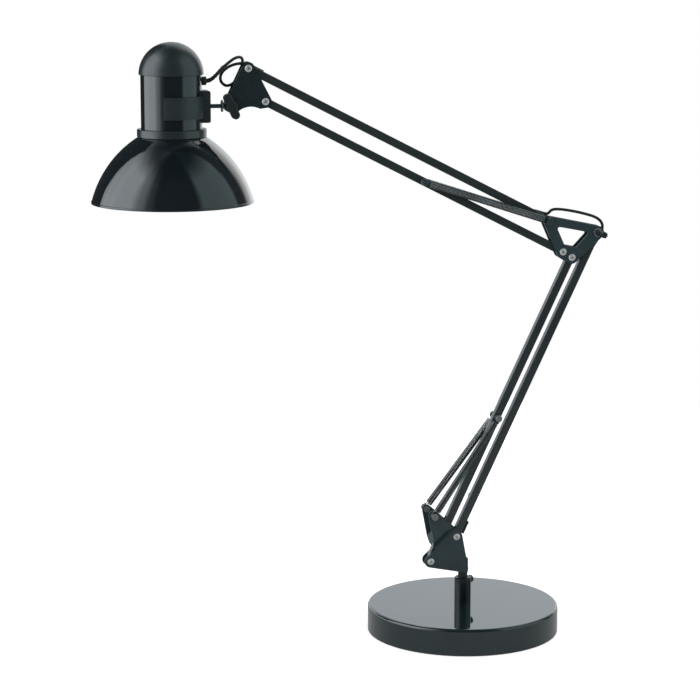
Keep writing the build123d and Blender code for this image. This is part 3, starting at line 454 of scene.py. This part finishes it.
CAST_IRON = Finish("cast_iron", (0.05, 0.05, 0.052), 0.7, Grain.CAST, metallic=0.6, grain_scale=700.0,
                   grain_strength=0.6, grain_depth=0.0003)
PAD_FELT = Finish("pad_felt", (0.012, 0.012, 0.013), 0.95, Grain.FIBRES, grain_scale=2400.0, grain_strength=0.8,
                  grain_depth=0.0003, drift=0.3)
HOLDER_GLAZE = Finish("holder_glaze", (0.72, 0.70, 0.64), 0.2, Grain.ORANGE_PEEL, drift=0.04)
BULB_METAL = Finish("bulb_metal", (0.52, 0.52, 0.50), 0.3, Grain.BRUSHED, metallic=1.0, grain_scale=1800.0)
BULB_GLASS = FrostedGlass("bulb_glass", (0.86, 0.86, 0.84), 0.3)
CORD_SHEATH = Sheath("cord_sheath", (0.008, 0.012, 0.013), 0.34)

SLOT_FINISHES = {
    "base_paint": BASE_ENAMEL,
    "weight_iron": CAST_IRON,
    "pad_felt": PAD_FELT,
    "socket_paint": POST_ENAMEL,
    "bearing_plastic": BUSH_MOULDING,
    "zinc_steel": ZINC_PLATE,
    "knob_plastic": KNOB_MOULDING,
    "cheek_paint": LIT_CHEEK_ENAMEL,
    "bar_paint": BAR_ENAMEL,
    "rivet_steel": RIVET_PLATE,
    "spring_steel": SPRING_WIRE,
    "stop_rubber": STOP_RUBBER,
    "cord_sheath": CORD_SHEATH,
    "shade_paint": SHADE_ENAMEL,
    "housing_paint": HOUSING_ENAMEL,
    "cap_plastic": CAP_MOULDING,
    "clip_plastic": CLIP_MOULDING,
    "holder_ceramic": HOLDER_GLAZE,
    "bulb_metal": BULB_METAL,
    "bulb_glass": BULB_GLASS,
}
# The head's cheeks take the darker copy of the cheeks' enamel, so the lighter copy on the stand and elbow is painted
# light.
NODE_FINISHES = {
    "head_cheek_near": BRACKET_ENAMEL,
    "head_cheek_far": BRACKET_ENAMEL,
    "stand_spring_studs": ZINC_PLATE,
}


@dataclass
class Paintshop:
    """Every finish as a material, made once, and the nodes and pieces that take it."""

    materials: dict[str, bpy.types.Material] = field(default_factory=dict)

    def material(self, slot: str, node: str = "") -> bpy.types.Material:
        """The material of one of the record's slots, or of a node that has a finish of its own.

        Args:
            slot: The slot's name.
            node: The node's name, where there is one.

        Returns:
            Its material.
        """
        finish = NODE_FINISHES.get(node, SLOT_FINISHES[slot])
        if finish.name not in self.materials:
            self.materials[finish.name] = finish.material()
        return self.materials[finish.name]

    def dress(self, piece: bpy.types.Object, slot: str) -> None:
        """Gives a new piece its finish.

        Args:
            piece: The piece.
            slot: The record's slot.
        """
        piece.data.materials.clear()
        piece.data.materials.append(self.material(slot))

    def dress_nodes(self) -> None:
        """Gives each carried-over node its own finish or its slot's."""
        for entry in frame["record"]["subparts"]:
            node = frame["nodes"][entry["node"]]
            if not node.material_slots:
                node.data.materials.append(None)
            for place in node.material_slots:
                place.material = self.material(entry["material_slot"], entry["node"])


PAINTSHOP = Paintshop()


def placed(name: str, data: bpy.types.ID) -> bpy.types.Object:
    """A new object in the scene, at the origin.

    Args:
        name: Its name.
        data: Its mesh, curve, light or camera.

    Returns:
        The object.
    """
    made = bpy.data.objects.new(name, data)
    bpy.context.scene.collection.objects.link(made)
    return made


def unit(vectors: Array) -> Array:
    """Vectors divided by their lengths, one vector to a row."""
    return vectors / np.linalg.norm(vectors, axis=-1, keepdims=True)


def reaches(line: Array) -> Array:
    """The length from a line's first point to each of its points, one point to a row."""
    steps = np.linalg.norm(np.diff(line, axis=0), axis=1)
    return np.concatenate(([0.0], np.cumsum(steps)))


def sideways(line: Array) -> Array:
    """The direction +Y at each point of a line."""
    return np.zeros_like(line) + SIDEWAYS


def hermite(share: Array, first: Array, leaving: Array, last: Array, arriving: Array) -> Array:
    """The Hermite cubic between two points, with its speed at each.

    It is (2s^3 - 3s^2 + 1) first + (s^3 - 2s^2 + s) leaving + (3s^2 - 2s^3) last + (s^3 - s^2) arriving.

    Args:
        share: The places s, from 0 to 1, in a column.
        first: The first point.
        leaving: The speed there.
        last: The last point.
        arriving: The speed there.

    Returns:
        The points, one to a row.
    """
    return ((2 * share**3 - 3 * share**2 + 1) * first + (share**3 - 2 * share**2 + share) * leaving
            + (3 * share**2 - 2 * share**3) * last + (share**3 - share**2) * arriving)


def surface(name: str, grid: Array, lengthwise: Array) -> bpy.types.Object:
    """A closed tube-like surface from a grid of points.

    Point (i, j) joins (i, j + 1), with the last j joined to the first, and (i + 1, j). The first and last rows are
    closed by one face each. The UV map holds the length along the tube and the share round it.

    Args:
        name: The piece's name.
        grid: Points, rows along the tube and columns round it.
        lengthwise: The length at each row, in metres.

    Returns:
        The new object, at the origin.
    """
    rows, columns = grid.shape[:2]
    column = np.arange(columns)[None, :]
    after = (column + 1) % columns
    here = np.arange(rows - 1)[:, None] * columns
    there = here + columns
    quads = np.stack((here + column, here + after, there + after, there + column), axis=-1).reshape(-1, 4)
    first_cap = np.arange(columns)[::-1]
    last_cap = np.arange(columns) + (rows - 1) * columns
    mesh = bpy.data.meshes.new(name)
    mesh.from_pydata(grid.reshape(-1, 3), [], [*quads.tolist(), first_cap.tolist(), last_cap.tolist()])
    blank = np.zeros((rows - 1, columns))
    left = column / columns + blank
    right = left + 1 / columns
    low = lengthwise[:-1, None] + blank
    high = lengthwise[1:, None] + blank
    walls = np.stack((np.stack((low, low, high, high), -1), np.stack((left, right, right, left), -1)), -1)
    caps = np.zeros((2 * columns, 2))
    layer = mesh.uv_layers.new(name=TUBE_MAP)
    layer.data.foreach_set("uv", np.concatenate((walls.reshape(-1, 2), caps)).astype(np.float32).ravel())
    mesh.polygons.foreach_set("use_smooth", np.ones(len(mesh.polygons), dtype=bool))
    mesh.set_sharp_from_angle(angle=math.radians(SHARP_EDGE))
    mesh.validate()
    return placed(name, mesh)


def tube(name: str, path: Array, radius: Array, hint: Array, sides: int) -> bpy.types.Object:
    """A round tube along a path: centre + radius * (cos(a) * normal + sin(a) * binormal).

    Args:
        name: The piece's name.
        path: The centre line, one point to a row.
        radius: The radius at each point.
        hint: A direction at each point that isn't along the path; the normal leans towards it.
        sides: Points round the tube.

    Returns:
        The new object.
    """
    tangent = unit(np.gradient(path, axis=0))
    normal = unit(hint - np.sum(hint * tangent, axis=1, keepdims=True) * tangent)
    binormal = np.cross(tangent, normal)
    angle = np.linspace(0.0, 2 * math.pi, sides, endpoint=False)[None, :, None]
    ring = np.cos(angle) * normal[:, None, :] + np.sin(angle) * binormal[:, None, :]
    return surface(name, path[:, None, :] + radius[:, None, None] * ring, reaches(path))


def view_ways() -> tuple[Point, Point]:
    """The level directions to the right of the view and towards the camera."""
    turn = math.radians(VIEW_HEADING)
    return (math.cos(turn), math.sin(turn), 0.0), (math.sin(turn), -math.cos(turn), 0.0)


@dataclass
class Camera:
    """The camera, at the photograph's viewing angle."""

    place: Point = (-0.6266, -2.3385, 0.740)
    pitch: float = 10.34
    lens: float = 122.14
    sensor: float = 36.0
    sees_to: float = 100.0

    def build(self) -> None:
        """Adds the camera and makes it the scene's."""
        data = bpy.data.cameras.new("camera")
        data.lens = self.lens
        data.sensor_width = self.sensor
        data.clip_end = self.sees_to
        camera = placed("camera", data)
        camera.location = self.place
        camera.rotation_euler = (math.radians(90.0 - self.pitch), 0.0, math.radians(VIEW_HEADING))
        bpy.context.scene.camera = camera


@dataclass(frozen=True)
class Softbox:
    """A flat light that faces a point. Glossy rays see the room in its place."""

    name: str
    bearing: float
    rise: float
    distance: float
    width: float
    height: float
    radiance: float

    def build(self, centre: Point) -> None:
        """Adds the softbox: power is radiance times pi times area.

        Args:
            centre: The point that it faces.
        """
        data = bpy.data.lights.new(self.name, "AREA")
        data.shape = "RECTANGLE"
        data.size = self.width
        data.size_y = self.height
        data.energy = self.radiance * math.pi * self.width * self.height
        turn = math.radians(self.bearing)
        lift = math.radians(self.rise)
        away = Vector((math.cos(turn) * math.cos(lift), math.sin(turn) * math.cos(lift), math.sin(lift)))
        light = placed(self.name, data)
        light.location = Vector(centre) + away * self.distance
        light.rotation_euler = away.to_track_quat("Z", "Y").to_euler()
        light.visible_camera = False
        light.visible_glossy = False


@dataclass(frozen=True)
class Panel:
    """A stop of the room's brightness: its angle from the camera's side, right of it positive, and its colour."""

    angle: float
    radiance: float
    tint: Colour = WHITE


COOL = (0.93, 1.0, 1.05)
TEAL = (0.78, 1.0, 1.02)


@dataclass
class Room:
    """What glossy rays see: a bright panel on the left, a faint one on the right, dark between them, white behind.

    The brightness is a ramp of the angle round the lamp, dimmed towards the ceiling.
    """

    brightest: float = 3.0
    panels: tuple[Panel, ...] = (
        Panel(-180.0, 0.92, COOL),
        Panel(-124.0, 1.0, COOL),
        Panel(-110.0, 1.9, COOL),
        Panel(-94.0, 2.5, COOL),
        Panel(-64.0, 2.8, COOL),
        Panel(-46.0, 1.3, COOL),
        Panel(-31.0, 0.25, COOL),
        Panel(-20.0, 0.04),
        Panel(41.0, 0.04),
        Panel(53.5, 0.72, TEAL),
        Panel(107.0, 0.72, TEAL),
        Panel(115.0, 0.08),
        Panel(130.0, 0.08),
        Panel(143.0, 1.1),
        Panel(158.0, 1.4),
        Panel(172.0, 1.0, COOL),
        Panel(180.0, 0.92, COOL),
    )
    ceiling: tuple[float, float] = (0.72, 0.97)
    ceiling_share: float = 0.05

    def radiance(self, tree: NodeTree) -> Socket:
        """The colour that comes from each direction.

        The angle is atan2(right part, part towards the camera) of the direction.

        Args:
            tree: The world's tree.

        Returns:
            The colour.
        """
        direction = tree.add("TexCoord", {}).outputs["Generated"]
        right, near = (self.part(tree, direction, way) for way in view_ways())
        angle = tree.add("Math", {0: right, 1: near}, operation="ARCTAN2").outputs[0]
        share = tree.add("MapRange", {"Value": angle, "From Min": -math.pi, "From Max": math.pi})
        ring = tree.add("ValToRGB", {"Fac": share.outputs["Result"]})
        self.place_stops(ring.color_ramp)
        ends = {
            "From Min": self.ceiling[0],
            "From Max": self.ceiling[1],
            "To Min": self.brightest,
            "To Max": self.brightest * self.ceiling_share,
        }
        height = self.part(tree, direction, UP)
        level = tree.add("MapRange", {"Value": height, **ends}, interpolation_type="SMOOTHSTEP")
        dimmed = {0: ring.outputs["Color"], "Scale": level.outputs["Result"]}
        return tree.add("VectorMath", dimmed, operation="SCALE").outputs["Vector"]

    def place_stops(self, ramp: bpy.types.ColorRamp) -> None:
        """Puts the panels on a ramp, at angle / 360 + 1 / 2.

        Args:
            ramp: The ramp, with its two first stops.
        """
        ramp.interpolation = "EASE"
        for panel in self.panels[1:-1]:
            ramp.elements.new(panel.angle / 360.0 + 0.5)
        for stop, panel in zip(ramp.elements, self.panels, strict=True):
            level = panel.radiance / self.brightest
            stop.color = (*darker(panel.tint, level), 1.0)

    def part(self, tree: NodeTree, direction: Socket, way: Point) -> Socket:
        """A direction's part along a way of length 1."""
        return tree.add("VectorMath", {0: direction, 1: way}, operation="DOT_PRODUCT").outputs["Value"]


@dataclass(frozen=True)
class DarkCard:
    """A dark card behind the lamp's head, which only reflections see. It keeps the head's left edges dark."""

    centre: tuple[float, float] = (-0.302, 0.0)
    angle: float = -148.0
    distance: float = 0.45
    sides: tuple[float, float] = (-0.30, 0.15)
    heights: tuple[float, float] = (0.25, 1.3)
    colour: Colour = (0.03, 0.033, 0.035)

    def build(self) -> None:
        """Adds the card: centre + distance * way + side * across, between two heights."""
        right, near = np.array(view_ways())[:, :2]
        angle = math.radians(self.angle)
        way = near * math.cos(angle) + right * math.sin(angle)
        across = np.array((way[1], -way[0]))
        left_foot, right_foot = (np.array(self.centre) + way * self.distance + across * side for side in self.sides)
        low, high = self.heights
        corners = [(*left_foot, low), (*right_foot, low), (*right_foot, high), (*left_foot, high)]
        mesh = bpy.data.meshes.new("dark_card")
        mesh.from_pydata(corners, [], [(0, 1, 2, 3)])
        mesh.materials.append(self.material())
        card = placed("dark_card", mesh)
        card.visible_camera = False
        card.visible_diffuse = False
        card.visible_transmission = False
        card.visible_shadow = False

    def material(self) -> bpy.types.Material:
        """Makes the material.

        Returns:
            A dark matt material.
        """
        material = bpy.data.materials.new("dark_card")
        tree = NodeTree(material, "OutputMaterial")
        tree.show(tree.add("BsdfDiffuse", {"Color": (*self.colour, 1.0)}))
        return material


@dataclass
class Studio:
    """The pale floor, the world, the dark card and the softboxes."""

    floor_radius: float = 1.2
    floor_corners: int = 96
    floor_colour: Colour = (0.80, 0.80, 0.80)
    floor_in_gloss: Colour = (0.05, 0.06, 0.06)
    floor_lift: float = 0.55
    mirrored_lift: float = 0.32
    ambient: float = 0.55
    centre: Point = (-0.25, 0.0, 0.45)
    room: Room = field(default_factory=Room)
    card: DarkCard = field(default_factory=DarkCard)
    softboxes: tuple[Softbox, ...] = (
        Softbox("left_softbox", -160.0, 24.0, 1.7, 2.5, 2.3, 1.4),
        Softbox("right_reflector", -43.0, 22.0, 1.9, 2.6, 2.3, 0.7),
        Softbox("right_back_softbox", 36.0, 20.0, 1.8, 2.0, 1.4, 1.4),
    )

    def build(self) -> None:
        """Adds the floor, the world, the card and the softboxes."""
        bpy.context.scene.view_settings.view_transform = "Standard"
        self.build_floor()
        self.build_world()
        self.card.build()
        for softbox in self.softboxes:
            softbox.build(self.centre)

    def build_floor(self) -> None:
        """Adds a round floor: (r cos a, r sin a, 0)."""
        angle = np.linspace(0.0, 2 * math.pi, self.floor_corners, endpoint=False)
        rim = np.stack((np.cos(angle), np.sin(angle), 0 * angle), axis=1) * self.floor_radius
        mesh = bpy.data.meshes.new("floor")
        mesh.from_pydata(rim, [], [list(range(len(rim)))])
        mesh.materials.append(self.floor_material())
        floor = placed("floor", mesh)

    def floor_material(self) -> bpy.types.Material:
        """A pale matt floor that the camera sees as white, that is dimmer in reflections and keeps the shadow.

        Returns:
            The floor's material.
        """
        material = bpy.data.materials.new("floor")
        tree = NodeTree(material, "OutputMaterial")
        rays = tree.add("LightPath", {})
        glossy = rays.outputs["Is Glossy Ray"]
        colour = tree.mix(glossy, (*self.floor_colour, 1.0), (*self.floor_in_gloss, 1.0))
        matt = tree.add("BsdfDiffuse", {"Color": colour})
        mirrored = tree.add("Math", {0: glossy, 1: self.mirrored_lift}, operation="MULTIPLY")
        lifts = {0: tree.seen_directly(rays), 1: self.floor_lift, 2: mirrored.outputs[0]}
        lift = tree.add("Math", lifts, operation="MULTIPLY_ADD")
        glow = tree.add("Emission", {"Strength": lift.outputs[0]})
        tree.show(tree.add("AddShader", {0: matt.outputs[0], 1: glow.outputs[0]}))
        return material

    def build_world(self) -> None:
        """A world that is white to the camera, the room to glossy rays and an even pale light to the others."""
        world = bpy.data.worlds.new("studio")
        bpy.context.scene.world = world
        tree = NodeTree(world, "OutputWorld")
        rays = tree.add("LightPath", {})
        ambient = (*darker(WHITE, self.ambient), 1.0)
        unseen = tree.mix(rays.outputs["Is Glossy Ray"], ambient, self.room.radiance(tree))
        colour = tree.mix(tree.seen_directly(rays), unseen, (*WHITE, 1.0))
        tree.show(tree.add("Background", {"Color": colour}))


@dataclass
class CordRoute:
    """A cord's route: the control points of a smooth spline."""

    name: str
    points: tuple[Point, ...]
    order: int = 3
    steps_to_point: int = 16
    same_place: float = 1e-7

    def line(self) -> Array:
        """The points along the spline.

        Returns:
            The spline's own points, from end to end.
        """
        data = bpy.data.curves.new(self.name, "CURVE")
        data.dimensions = "3D"
        spline = data.splines.new("NURBS")
        spline.points.add(len(self.points) - 1)
        controls = np.ones((len(self.points), 4))
        controls[:, :3] = self.points
        spline.points.foreach_set("co", controls.ravel())
        spline.order_u = self.order
        spline.use_endpoint_u = True
        spline.resolution_u = self.steps_to_point
        guide = placed(self.name, data)
        mesh = bpy.data.meshes.new_from_object(guide)
        flat = np.empty(3 * len(mesh.vertices))
        mesh.vertices.foreach_get("co", flat)
        bpy.data.objects.remove(guide)
        bpy.data.curves.remove(data)
        bpy.data.meshes.remove(mesh)
        line = flat.reshape(-1, 3)
        apart = np.linalg.norm(np.diff(line, axis=0), axis=1) > self.same_place
        return line[np.concatenate(([True], apart))]


@dataclass
class CordPiece:
    """One stretch of a cord between two bodies."""

    name: str
    node: str
    bodies: tuple[str, str]
    bend: tuple[Point, Point]
    diameter: float = 0.003
    sides: int = 20

    def build(self, line: Array, with_pieces: tuple[bpy.types.Object, ...] = ()) -> bpy.types.Object:
        """Args:
            line: Its centre line.
            with_pieces: The pieces on it; not used.

        Returns:
            The stretch.
        """
        piece = tube(self.name, line, np.full(len(line), self.diameter / 2), sideways(line), self.sides)
        PAINTSHOP.dress(piece, "cord_sheath")
        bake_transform(piece)
        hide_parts(self.node)
        return piece


@dataclass
class ElbowCord:
    """The cord over the elbow, from the top bar to the rear bar, in two stretches."""

    route: CordRoute = field(default_factory=lambda: CordRoute("elbow_cord_route", (
        (0.0733658, 0.0, 0.4421354),
        (0.0803658, 0.0, 0.4399354),
        (0.0873658, 0.0, 0.4378354),
        (0.0908658, 0.0, 0.4425354),
        (0.0978658, 0.0, 0.4432354),
        (0.1108658, 0.0, 0.4413354),
        (0.1255658, 0.0, 0.4380354),
        (0.1405658, 0.0, 0.4334354),
        (0.1472658, 0.0, 0.4264354),
        (0.1459658, 0.0, 0.4172354),
        (0.1423658, 0.0, 0.4112354),
        (0.1369658, 0.0, 0.4034354),
    )))
    split: float = 0.5

    def build(self) -> list[bpy.types.Object]:
        """Makes both stretches.

        Returns:
            The stretches.
        """
        line = self.route.line()
        reach = reaches(line)
        cut = int(np.searchsorted(reach, reach[-1] * self.split))
        middle = tuple(line[cut])
        upper = CordPiece("elbow_cord_upper", "elbow_cord", ("upper_top_arm", "elbow"), (tuple(line[0]), middle))
        lower = CordPiece("elbow_cord_lower", "elbow_cord", ("elbow", "lower_rear_arm"), (middle, tuple(line[-1])))
        return [upper.build(line[: cut + 1]), lower.build(line[cut:])]


@dataclass
class CordRelief:
    """The moulding where the head's cord leaves the housing: a flange on the wall, then a ribbed taper."""

    foot: Point = (-0.2715, 0.0, 0.5801)
    flange_radius: float = 0.0043
    flange_length: float = 0.0042
    edge: float = 0.0006
    edge_points: int = 8
    taper_radii: tuple[float, float] = (0.0022, 0.0018)
    taper_points: int = 72
    cord_step: float = 0.5
    ribs: int = 5
    ribbed: tuple[float, float] = (0.2, 0.9)
    rib_depth: float = 0.0003
    sides: int = 28

    def build(self, line: Array) -> bpy.types.Object:
        """Makes the moulding, which bends to the cord.

        The taper's centre line is the Hermite cubic from the flange, along +X, to the cord's first step, along the
        cord. The flange's edge is a quarter circle, and the taper carries a row of rounded ribs.

        Args:
            line: The cord's centre line.

        Returns:
            The moulding.
        """
        foot = np.array(self.foot)
        out = np.array(OUT)
        shoulder = foot + out * self.flange_length
        step = line[1] - line[0]
        tip = line[0] + step * self.cord_step
        gap = np.linalg.norm(tip - shoulder)
        share = np.linspace(0.0, 1.0, self.taper_points)[:, None]
        bend = hermite(share, shoulder, out * gap, tip, unit(step) * gap)
        turn = np.linspace(0.0, math.pi / 2, self.edge_points)
        depth = np.concatenate(([0.0], self.flange_length - self.edge * (1 - np.sin(turn))))
        rim = np.concatenate(([0.0], self.edge * (1 - np.cos(turn))))
        path = np.concatenate((foot + out * depth[:, None], bend[1:]))
        radius = np.concatenate((self.flange_radius - rim, self.taper(share[1:, 0])))
        piece = tube("cord_relief_moulding", path, radius, sideways(path), self.sides)
        PAINTSHOP.dress(piece, "stop_rubber")
        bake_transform(piece)
        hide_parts("cord_relief")
        return piece

    def taper(self, share: Array) -> Array:
        """The taper's radius, which a rib's groove lessens by depth * (1 - cos(2 pi ribs s)) / 2.

        Args:
            share: The places along the taper, from 0 to 1; s is the share of its ribbed part.

        Returns:
            The radius at each.
        """
        first, last = self.taper_radii
        start, end = self.ribbed
        grooves = 0.5 - 0.5 * np.cos(2 * math.pi * self.ribs * (share - start) / (end - start))
        inside = (share > start) & (share < end)
        return first + (last - first) * share - self.rib_depth * grooves * inside


@dataclass
class HeadCord:
    """The cord from the housing round a loop to the top bar, in two stretches, and the moulding on it."""

    route: CordRoute = field(default_factory=lambda: CordRoute("head_cord_route", (
        (-0.2502300, -0.0026, 0.5936196),
        (-0.2426300, -0.0024, 0.5999196),
        (-0.2358300, -0.0002, 0.6033196),
        (-0.2295300, 0.0064, 0.6022196),
        (-0.2286300, 0.0110, 0.5952196),
        (-0.2322300, 0.0116, 0.5850196),
        (-0.2376300, 0.0104, 0.5763196),
        (-0.2462300, 0.0078, 0.5735196),
        (-0.2526300, 0.0052, 0.5795196),
        (-0.2516300, 0.0034, 0.5876196),
        (-0.2446300, 0.0024, 0.5936196),
        (-0.2362300, 0.0014, 0.5966196),
        (-0.2276300, 0.0004, 0.5968196),
        (-0.2186300, 0.0, 0.5929196),
        (-0.2098300, 0.0, 0.5882196),
    )))
    tail_length: float = 0.034
    relief: CordRelief = field(default_factory=CordRelief)

    def build(self) -> list[bpy.types.Object]:
        """Makes the moulding and both stretches.

        Returns:
            The pieces.
        """
        line = self.route.line()
        reach = reaches(line)
        cut = int(np.searchsorted(reach, reach[-1] - self.tail_length))
        relief = self.relief.build(line)
        turn = tuple(line[cut])
        loop = CordPiece("head_cord_loop", "head_cord", ("head_pivot", "head_bracket"), (tuple(line[0]), turn))
        tail = CordPiece("head_cord_tail", "head_cord", ("head_bracket", "upper_top_arm"), (turn, tuple(line[-1])))
        return [relief, loop.build(line[: cut + 1], (relief,)), tail.build(line[cut:])]


@dataclass(frozen=True)
class SpringRun:
    """A length of a spring, and shares of the way between its anchors."""

    word: str
    upto: float
    turn_from: float
    turn_to: float


@dataclass
class TensionSpring:
    """A close-wound tension spring with a hook at each end."""

    name: str
    start: Point
    end: Point
    bodies: tuple[str, str]
    runs: tuple[SpringRun, ...]
    wire: float = 0.0012
    mean_radius: float = 0.0032
    pitch: float = 0.00136
    hook_lead: float = 0.006
    hook_ramp: float = 0.0025
    hook_tail: float = 0.0025
    hook_turn: float = 75.0
    points_to_turn: int = 20
    tail_points: int = 4
    bow_points: int = 18
    lead_points: int = 5
    ramp_points: int = 12
    sides: int = 8

    def centre_line(self) -> tuple[Array, Array]:
        """The wire's centre line and a direction across it.

        In axes along, across and aside: a hook, the coil (s, m cos a, m sin a) with s growing evenly with a, and the
        same hook turned half round the aside axis at the other end.

        Returns:
            The points, and a direction at each that isn't along the wire.
        """
        start = np.array(self.start)
        end = np.array(self.end)
        length = np.linalg.norm(end - start)
        along = (end - start) / length
        across = unit(np.cross(along, SIDEWAYS))
        aside = np.cross(along, across)
        coil = length - 2 * self.hook_lead
        first = math.radians(self.hook_turn)
        last = math.radians(round(coil / self.pitch) * 360 + 180 - self.hook_turn)
        count = round((last - first) / (2 * math.pi) * self.points_to_turn)
        angle = np.linspace(first, last, count)
        rise = coil / (last - first)
        radial = np.stack((0 * angle, np.cos(angle), np.sin(angle)), axis=1)
        helix = self.mean_radius * radial
        helix[:, 0] = self.hook_lead + rise * (angle - first)
        turned = np.array((-1.0, -1.0, 1.0))
        shift = np.array((length, 0.0, 0.0))
        hook = self.hook(helix[0], self.coil_way(rise, first))
        far_hook = self.hook((helix[-1] - shift) * turned, -self.coil_way(rise, last) * turned)
        far_hook = (far_hook * turned + shift)[::-1]
        local = np.concatenate((hook, helix, far_hook))
        hints = np.concatenate((0 * hook + UP, radial, 0 * far_hook + UP))
        axes = np.stack((along, across, aside))
        return start + local @ axes, hints @ axes

    def coil_way(self, rise: float, angle: float) -> Array:
        """The coil's direction at an angle: (rise, -m sin a, m cos a)."""
        return np.array((rise, -self.mean_radius * math.sin(angle), self.mean_radius * math.cos(angle)))

    def hook(self, coil_start: Array, coil_way: Array) -> Array:
        """A hook, from its free end to the coil, without the coil's first point.

        It is a straight tail, a half circle of the mean radius round the anchor, a straight lead and a Hermite cubic
        on to the coil.

        Args:
            coil_start: The coil's first point, in along, across and aside.
            coil_way: The coil's direction there.

        Returns:
            The hook's points, in the same axes.
        """
        mean = self.mean_radius
        tail = np.linspace((self.hook_tail, -mean, 0.0), (0.0, -mean, 0.0), self.tail_points, endpoint=False)
        angle = np.linspace(-math.pi / 2, -1.5 * math.pi, self.bow_points)
        bow = np.stack((mean * np.cos(angle), mean * np.sin(angle), 0 * angle), axis=1)
        lead_end = np.array((self.hook_lead - self.hook_ramp, mean, 0.0))
        lead = np.linspace(bow[-1], lead_end, self.lead_points)[1:]
        reach = np.linalg.norm(coil_start - lead_end)
        share = np.linspace(0.0, 1.0, self.ramp_points)[1:-1, None]
        ramp = hermite(share, lead_end, np.array(OUT) * reach, coil_start, unit(coil_way) * reach)
        return np.concatenate((tail, bow, lead, ramp))

    def build(self) -> list[bpy.types.Object]:
        """Makes the spring in lengths, cut where the share of the way between the anchors reaches each run's end.

        Returns:
            The lengths, from the first hook to the last.
        """
        path, hint = self.centre_line()
        start = np.array(self.start)
        way = np.array(self.end) - start
        share = (path - start) @ way / (way @ way)
        made = []
        first = 0
        for run in self.runs:
            last = int(np.argmax(share >= run.upto)) if run.upto < 1 else len(path) - 1
            part = slice(first, last + 1)
            radii = np.full(last + 1 - first, self.wire / 2)
            piece = tube(f"{self.name}_{run.word}", path[part], radii, hint[part], self.sides)
            PAINTSHOP.dress(piece, "spring_steel")
            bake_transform(piece)
            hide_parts(self.name)
            made.append(piece)
            first = last
        return made


@dataclass
class Springs:
    """The four springs, two to each arm."""

    stud: tuple[float, float] = (-0.0362, 0.1281)
    stud_depth: float = 0.0188
    lower_post: tuple[float, float] = (0.034428, 0.226875)
    pin: tuple[float, float] = (0.0855658, 0.4321354)
    pin_depth: float = 0.01055
    upper_post: tuple[float, float] = (-0.045519, 0.475155)
    post_depth: float = 0.0084
    lower_runs: tuple[SpringRun, ...] = (
        SpringRun("hook", 0.06, 0.0, 0.198),
        SpringRun("coil", 0.35, -0.2334, 0.7345),
        SpringRun("coil_end", 0.9, -0.7999, 1.1079),
        SpringRun("tail", 1.0, 0.0833, 1.0),
    )
    upper_runs: tuple[SpringRun, ...] = (
        SpringRun("hook", 0.06, 0.0, 0.114),
        SpringRun("coil", 0.3, -0.4945, 0.5594),
        SpringRun("coil_end", 0.85, -2.0721, 1.0745),
        SpringRun("tail", 1.0, -1.0987, 1.0),
    )

    def anchor(self, place: tuple[float, float], depth: float, side: Side) -> Point:
        """A place in the X-Z plane, moved out to one side."""
        return (place[0], side.value * depth, place[1])

    def build(self) -> list[bpy.types.Object]:
        """Makes the springs.

        Returns:
            The springs' lengths.
        """
        made = []
        for side in Side:
            word = side.name.lower()
            stud = self.anchor(self.stud, self.stud_depth, side)
            lower_post = self.anchor(self.lower_post, self.post_depth, side)
            lower = TensionSpring(f"lower_spring_{word}", stud, lower_post, ("stand", "lower_front_arm"),
                                  self.lower_runs)
            pin = self.anchor(self.pin, self.pin_depth, side)
            upper_post = self.anchor(self.upper_post, self.post_depth, side)
            upper = TensionSpring(f"upper_spring_{word}", pin, upper_post, ("elbow", "upper_boom_arm"),
                                  self.upper_runs)
            made += [*lower.build(), *upper.build()]
        return made


@dataclass(frozen=True)
class InnerRun:
    """The straight cord inside a bar, which shows at the bar's slots."""

    node: str
    body: str
    slope: Slope
    radius: float = 0.0015
    points: int = 40
    sides: int = 16

    def build(self) -> bpy.types.Object:
        """Makes the run between two corners of its node's box, drawn in by the radius across its way.

        Returns:
            The run.
        """
        low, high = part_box(self.node)
        ends = np.array(((low.x, 0.0, low.z), (high.x, 0.0, high.z)))
        if self.slope is Slope.FALLING:
            ends[:, 2] = ends[::-1, 2]
        way = unit(ends[1] - ends[0])
        inset = self.radius * abs(np.array((way[2], 0.0, way[0]))) * np.array((1.0, 0.0, self.slope.value))
        share = np.linspace(0.0, 1.0, self.points)[:, None]
        path = (ends[0] + inset) * (1 - share) + (ends[1] - inset) * share
        piece = tube(f"{self.node}_sheath", path, np.full(len(path), self.radius), sideways(path), self.sides)
        PAINTSHOP.dress(piece, "cord_sheath")
        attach(piece, self.body)
        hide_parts(self.node)
        return piece


@dataclass
class InnerRuns:
    """The cord inside two of the bars."""

    runs: tuple[InnerRun, ...] = (
        InnerRun("lower_cord_run", "lower_rear_arm", Slope.RISING),
        InnerRun("upper_cord_run", "upper_top_arm", Slope.FALLING),
    )

    def build(self) -> list[bpy.types.Object]:
        """Makes the runs."""
        return [run.build() for run in self.runs]


def main() -> None:
    """Builds the scene in order and reports each piece."""
    Camera().build()
    for maker in (ElbowCord(), HeadCord(), InnerRuns(), Springs()):
        for piece in maker.build():
            log.info("%s: %d faces", piece.name, len(piece.data.polygons))
    PAINTSHOP.dress_nodes()
    Studio().build()


if __name__ == "__main__":
    main()
